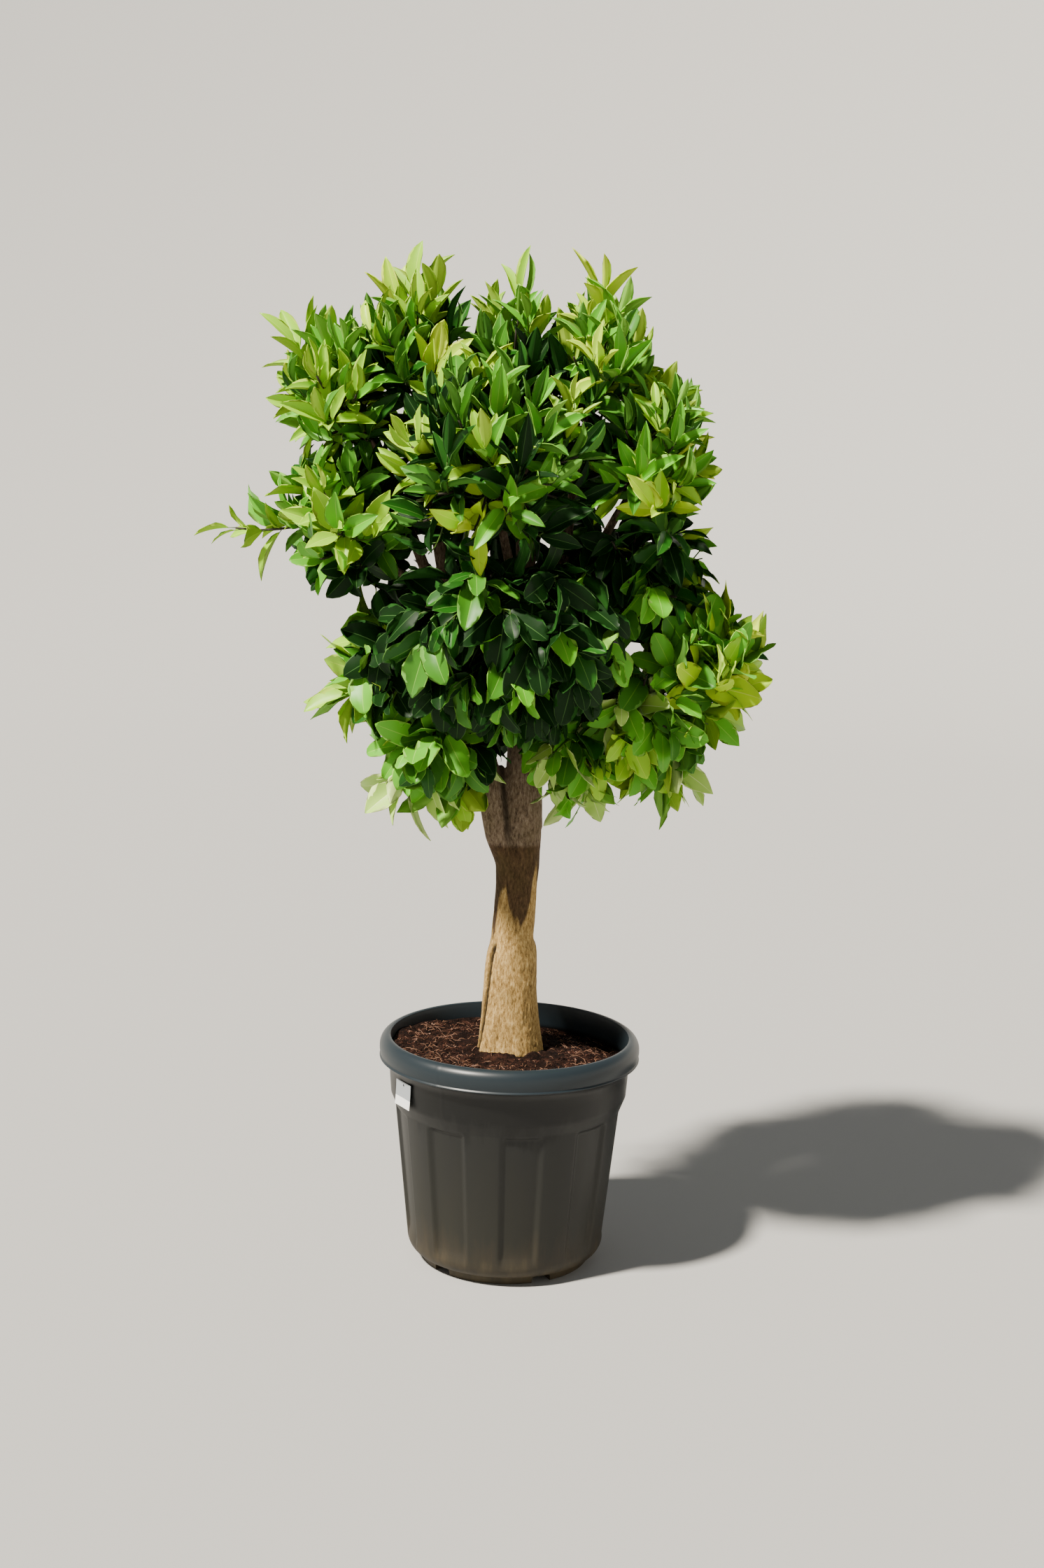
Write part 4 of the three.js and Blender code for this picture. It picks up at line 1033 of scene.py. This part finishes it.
# Lemon leaves, grown: a waxy skin on a leathery blade. The wax blurs the light to a broad soft
# gloss on the upper side; the underside and the midrib are paler, and the margin is painted as pale
# as the midrib, a painted highlight where the sun catches the leaf's edge. New leaves are
# yellow-green, then fresh green, and old ones deep green; leaves inside the crown are also painted
# deep green, painted shade of the crown's inside. Full-grown blades that hang low in the light are
# painted paler, a painted highlight of the light on and through them.
LEAF_TINTS = (
    ("new", "#AED60E", "#B6CC32", "#C8DE4C", 0.35), ("young", "#8CC014", "#98BA34", "#ACCE40", 0.35),
    ("fresh", "#56A318", "#74A83C", "#84BA40", 0.35), ("grown", "#3A7618", "#568A32", "#6A9C38", 0.3),
    ("old", "#1C5010", "#3C6C26", "#527E36", 0.25), ("deep", "#0D280A", "#1E4618", "#3A5A2E", 0.12),
    ("pale", "#A3CA58", "#BCD480", "#CEE092", 0.5),
)
leaf_materials = []
for name, blade, underside, rib, gloss in LEAF_TINTS:
    leaf_materials += [new_material(name + "_waxy_leaf_blade", blade, 0.42, 1.42, gloss),
                       new_material(name + "_leaf_underside", underside, 0.65, 1.4, gloss / 2),
                       new_material(name + "_leaf_midrib_and_margin_highlight", rib, 0.55, 1.4, gloss / 2)]
NEW, YOUNG, FRESH, GROWN, OLD, DEEP, PALE = range(len(LEAF_TINTS))
PER_TINT = len(leaf_materials) // len(LEAF_TINTS)
# the margin takes the midrib's pale colour, a painted highlight where the sun catches the leaf's edge
SLOT_OF_PART = np.array([0, 2, 2, 1, 2])  # for blade, midrib, margin, underside and midrib below
NEW_SHARE, PALE_SHARE, YOUNG_SHARE = 0.24, 0.42, 0.6  # of a mass's new growth
LIFTED = 0.3  # masses that lift less than this carry pale leaves and no new ones

# Citrus twigs: green and smooth while young, then thin grey-brown bark.
green_twig = new_material("green_citrus_shoot", "#3C5A18", 0.5, 1.45)
woody_twig = new_material("woody_citrus_twig", "#2B261A", 0.75, 1.45)


def spray_tint(name, tip, random):
    """A spray's tint: young at the crown's face by its mass's share of new growth, and deep inside, partly
    older leaves and partly painted shade.
    """
    out = share_of_crown(tip)
    youth_and_light, lift = masses[name]["youth_and_light"], masses[name]["lift"]
    chance = youth_and_light * float(smooth(out, 0.5, 0.9))
    draw = next(random)
    if lift > LIFTED and draw < chance * NEW_SHARE:
        return NEW
    if lift < LIFTED and draw < chance * PALE_SHARE:
        return PALE
    if draw < chance * YOUNG_SHARE:
        return YOUNG
    if draw < chance:
        return FRESH
    if draw < chance + (0.15 + 0.5 * youth_and_light) * out * out:
        return GROWN
    return OLD if next(random) < (0.25 + 0.5 * youth_and_light) * out * out else DEEP


LOW, HIGH = 1120, 1430  # the heights between which oval leaves give way to lance-shaped ones
OVAL_LENGTH, LANCE_LENGTH = 92, 84
SLENDER_FROM = -440  # the long shoot beyond this at the left has small leaves


def leaf_form(root, random, leader):
    """Length, width and curl of a leaf by its height in the crown."""
    low = 1 - float(smooth(root.z, LOW, HIGH))
    length = LANCE_LENGTH + (OVAL_LENGTH - LANCE_LENGTH) * low
    length *= 0.8 + 0.34 * next(random)
    ratio = 0.29 + 0.21 * low + 0.08 * next(random)
    form = {"length": length, "width": length * ratio, "breadth": OVAL if low > 0.5 else LANCE}
    form["arch"] = 0.15 + 0.5 * next(random) + 0.35 * low * next(random)
    form["fold"] = (0.38 + 0.45 * next(random)) * (1 - low) + (0.75 * next(random) - 0.25) * low
    form["twist"] = (0.5 + 0.9 * low) * (next(random) - 0.5)
    form["wave"] = 0.05 + 0.1 * next(random) + 0.12 * low * next(random)
    form["phase"] = next(random)
    form["roll"] = (0.5 + 1.3 * low) * (next(random) - 0.5)
    if leader and low > 0.5:
        form["length"] *= 1.2
        form["breadth"] = LANCE
    if root.x < SLENDER_FROM:
        form["length"] *= 0.7
        form["width"] *= 0.7
    return form


def sideways(way, turn):
    """A direction square to a way, turned round it."""
    side, normal = limb_frame(way, way)
    return side * math.cos(turn) + normal * math.sin(turn)


def grow_spray(leaves, name, curve, first, count, tint, random, leader=None):
    """Leaves in a spiral on a twig, from the share `first` of its length to its tip."""
    lift, heart = masses[name]["lift"], masses[name]["heart"]

    def within(point):
        if not leader:
            return share_of_reach(name, point) < REACH_LIMIT
        way = leader - heart
        return (point - heart).dot(way) <= way.length_squared + 1

    out_of_crown = (curve[3] - CROWN_HEART).normalized()
    turn = ANY_TURN * next(random)
    for row in range(count + 1):
        # the first leaf ends the twig, and the others stand back along it
        at = 1.0 if row == 0 else 0.98 - (0.98 - first) * (row - 0.4) / count
        root = on_curve(curve, at)
        tangent = curve_way(curve, at)
        turn += SPIRAL
        outwards = sideways(tangent, turn)
        lean = math.radians(12 if row == 0 else 26 + 30 * row / count + 18 * (next(random) - 0.5))
        along = tangent * math.cos(lean) + outwards * math.sin(lean)
        # leaves stand up in the masses that lift and hang in the others
        weight = 0.8 * lift if lift > 0.4 else -0.25 - 0.7 * next(random)
        weight *= 0.4 if leader else 1
        along = (along + Vector((0, 0, weight))).normalized()
        upward = tangent + Vector((0, 0, 0.5)) + out_of_crown * 0.4
        if abs(upward.normalized().dot(along)) > 0.95:
            upward = outwards
        form = leaf_form(root, random, leader)
        stalk = 7 + 5 * next(random)
        if leader and row == 0:
            # the last leaf of a leader ends at the crown's tip
            along = (leader - root).normalized()
            form["length"] = (leader - root).length - stalk
        upward = Matrix.Rotation(form["roll"], 3, along) @ upward
        # three leaves in ten are a tint older than their spray
        shade = {PALE: FRESH, DEEP: DEEP}.get(tint, tint + 1) if next(random) < 0.3 else tint
        # a leaf that would reach too far is smaller, or left out
        for smaller in (1.0, 0.8, 0.62):
            tip = root + along * (stalk + form["length"] * smaller)
            if within(tip) and inside_part(tip):
                break
        else:
            continue
        form["length"] *= smaller
        form["width"] *= smaller
        if not clear_of_limbs(root + along * stalk, tip, form["width"] * 0.2):
            continue
        places = leaf_places(root + along * stalk, along, upward, form)
        leaves.add(places, LEAF_CORNERS, LEAF_SIZES, shade * PER_TINT + SLOT_OF_PART[LEAF_PARTS])
        stalk_end = root + along * (stalk + 1.5)
        stalk_curve = (root, root.lerp(stalk_end, 0.33), root.lerp(stalk_end, 0.66), stalk_end)
        grow_twig(stalk_curve, STALK_RADII, 1, 3, False)


tips = []


def far_from_tips(point, spacing):
    """Whether no twig's tip is nearer than the spacing."""
    return all((point - other).length_squared > spacing * spacing for other in tips)


def spray_spacing(point):
    inner = 1 - float(smooth(share_of_crown(point), 0.5, 0.95))
    return SPRAY_SPACING + (INNER_SPACING - SPRAY_SPACING) * inner


def grow_mass(name, number):
    """Grows one mass: its stem, shoots and side twigs, with their sprays of leaves."""
    mass = masses[name]
    leaves = Growth()
    random = draws(FIRST_SEED + SEED_STEP * number)
    bough = boughs[name]
    way = curve_way(bough["curve"], 1.0)
    start = bough["curve"][3]
    stem = bend(start - way * 6, way, mass["heart"], mass["heart"] - start)
    grow_twig(stem, (bough["radii"][1] * 0.95, 3.6), 6, 7, True)
    for end, leader in shoot_ends(name, random):
        # shoots leave the outer two thirds of the stem
        root = on_curve(stem, 0.35 + 0.62 * next(random))
        out = (end - root).normalized()
        length = (end - root).length
        reach = max(0.5 * length, length - (LEADER_ROOM if leader else SHOOT_ROOM))
        tip = root + out * reach
        if not clear_of_limbs(root.lerp(tip, 0.5), tip, 4):
            continue
        shoot = bend(root, curve_way(stem, 0.9) + out * 1.5, tip, out + Vector((0, 0, 0.45 * mass["lift"])))
        grow_twig(shoot, SHOOT_RADII, 6, 6, True)
        if leader or far_from_tips(tip, spray_spacing(tip) * 0.8):
            tips.append(tip)
            tint = spray_tint(name, tip, random)
            if leader and tint != PALE:
                tint = min(tint, YOUNG if mass["youth_and_light"] > 0.4 else FRESH)
            first = 1 - min(0.7, SHOOT_LEAFY_LENGTH / reach)
            grow_spray(leaves, name, shoot, first, SHOOT_LEAVES, tint, random, leader)
        side_count = max(2, round(reach / TWIG_STEP))
        rise = Vector((0, 0, 0.9 * mass["lift"] + 0.1))
        for i in range(side_count):
            # side twigs stand out and forward from the shoot, each 60 to 112 mm long
            at = 0.16 + 0.74 * (i + 0.5) / side_count
            foot = on_curve(shoot, at)
            tangent = curve_way(shoot, at)
            outwards = sideways(tangent, i * SPIRAL + number)
            aim = (tangent * 0.7 + outwards * 0.9 + rise).normalized()
            twig_length = 60 + 52 * next(random)
            twig_tip = foot + aim * twig_length
            if share_of_reach(name, twig_tip) > TWIG_LIMIT or not inside_space(name, twig_tip):
                continue
            if not far_from_tips(twig_tip, spray_spacing(twig_tip)):
                continue
            if not clear_of_limbs(foot, twig_tip, 3):
                continue
            tips.append(twig_tip)
            twig = bend(foot, outwards + tangent, twig_tip, aim + rise)
            grow_twig(twig, TWIG_RADII, 4, 5, False)
            tint = spray_tint(name, twig_tip, random)
            grow_spray(leaves, name, twig, 0.22, round(twig_length / LEAF_STEP), tint, random)
    made = leaves.made("leaves_" + name, leaf_materials)
    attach(made, "root")
    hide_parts("foliage_" + name)


for number, name in enumerate(masses):
    grow_mass(name, number)
twig_piece = twigs.made("twigs", (green_twig, woody_twig))
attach(twig_piece, "root")

# The studio: a pale floor that rises far out to a low round wall, so that no horizon shows, and
# one soft light high at the left front under an even pale sky.

FLOOR_FLAT, FLOOR_REACH, WALL_HEIGHT = 6, 15, 6.5


def make_floor():
    sides, steps = 96, 12
    radii = [0.01] + [FLOOR_FLAT + (FLOOR_REACH - FLOOR_FLAT) * step / steps for step in range(steps + 1)]
    vertices, faces = [], []
    for radius in radii:
        share = max(0.0, (radius - FLOOR_FLAT) / (FLOOR_REACH - FLOOR_FLAT))
        for side in range(sides):
            vertices.append((*on_ring(radius, 2 * math.pi * side / sides), WALL_HEIGHT * share ** 2))
    for row in range(len(radii) - 1):
        for side in range(sides):
            a, b = row * sides + side, row * sides + (side + 1) % sides
            faces.append((a, a + sides, b + sides, b))
    return new_object("studio_floor", vertices, faces, closed=False)


floor = make_floor()
floor.data.materials.append(new_material("painted_studio_floor", "#A2A2A0", 0.9))

KEY_TURN, KEY_HEIGHT = math.radians(-54), math.radians(53)
key = bpy.data.lights.new("key_light", "SUN")
key.energy = 13
key.angle = math.radians(5)
key.color = linear("#FFF6E8")[:3]
key_light = bpy.data.objects.new("key_light", key)
towards = Vector((math.sin(KEY_TURN) * math.cos(KEY_HEIGHT), -math.cos(KEY_TURN) * math.cos(KEY_HEIGHT),
                  math.sin(KEY_HEIGHT)))
key_light.rotation_euler = towards.to_track_quat("Z", "Y").to_euler()
bpy.context.scene.collection.objects.link(key_light)
world = bpy.data.worlds.new("studio_sky")
world.use_nodes = True
sky = world.node_tree.nodes["Background"]
sky.inputs["Color"].default_value = linear("#E0EAF8")
sky.inputs["Strength"].default_value = 0.22
bpy.context.scene.world = world

# The camera, where the photograph was taken from: standing height, nearly four metres in front.

CAMERA_DOWN, CAMERA_ROLL = math.radians(9.89), math.radians(1.47)
camera_data = bpy.data.cameras.new("camera")
camera_data.sensor_fit = "VERTICAL"
camera_data.sensor_height = 36
camera_data.lens = 49.5
camera = bpy.data.objects.new("camera", camera_data)
camera.location = (0.0102, -3.689, 1.500)
tilt = Matrix.Rotation(math.radians(90) - CAMERA_DOWN, 3, "X") @ Matrix.Rotation(CAMERA_ROLL, 3, "Z")
camera.rotation_euler = tilt.to_euler()
bpy.context.scene.collection.objects.link(camera)
bpy.context.scene.camera = camera
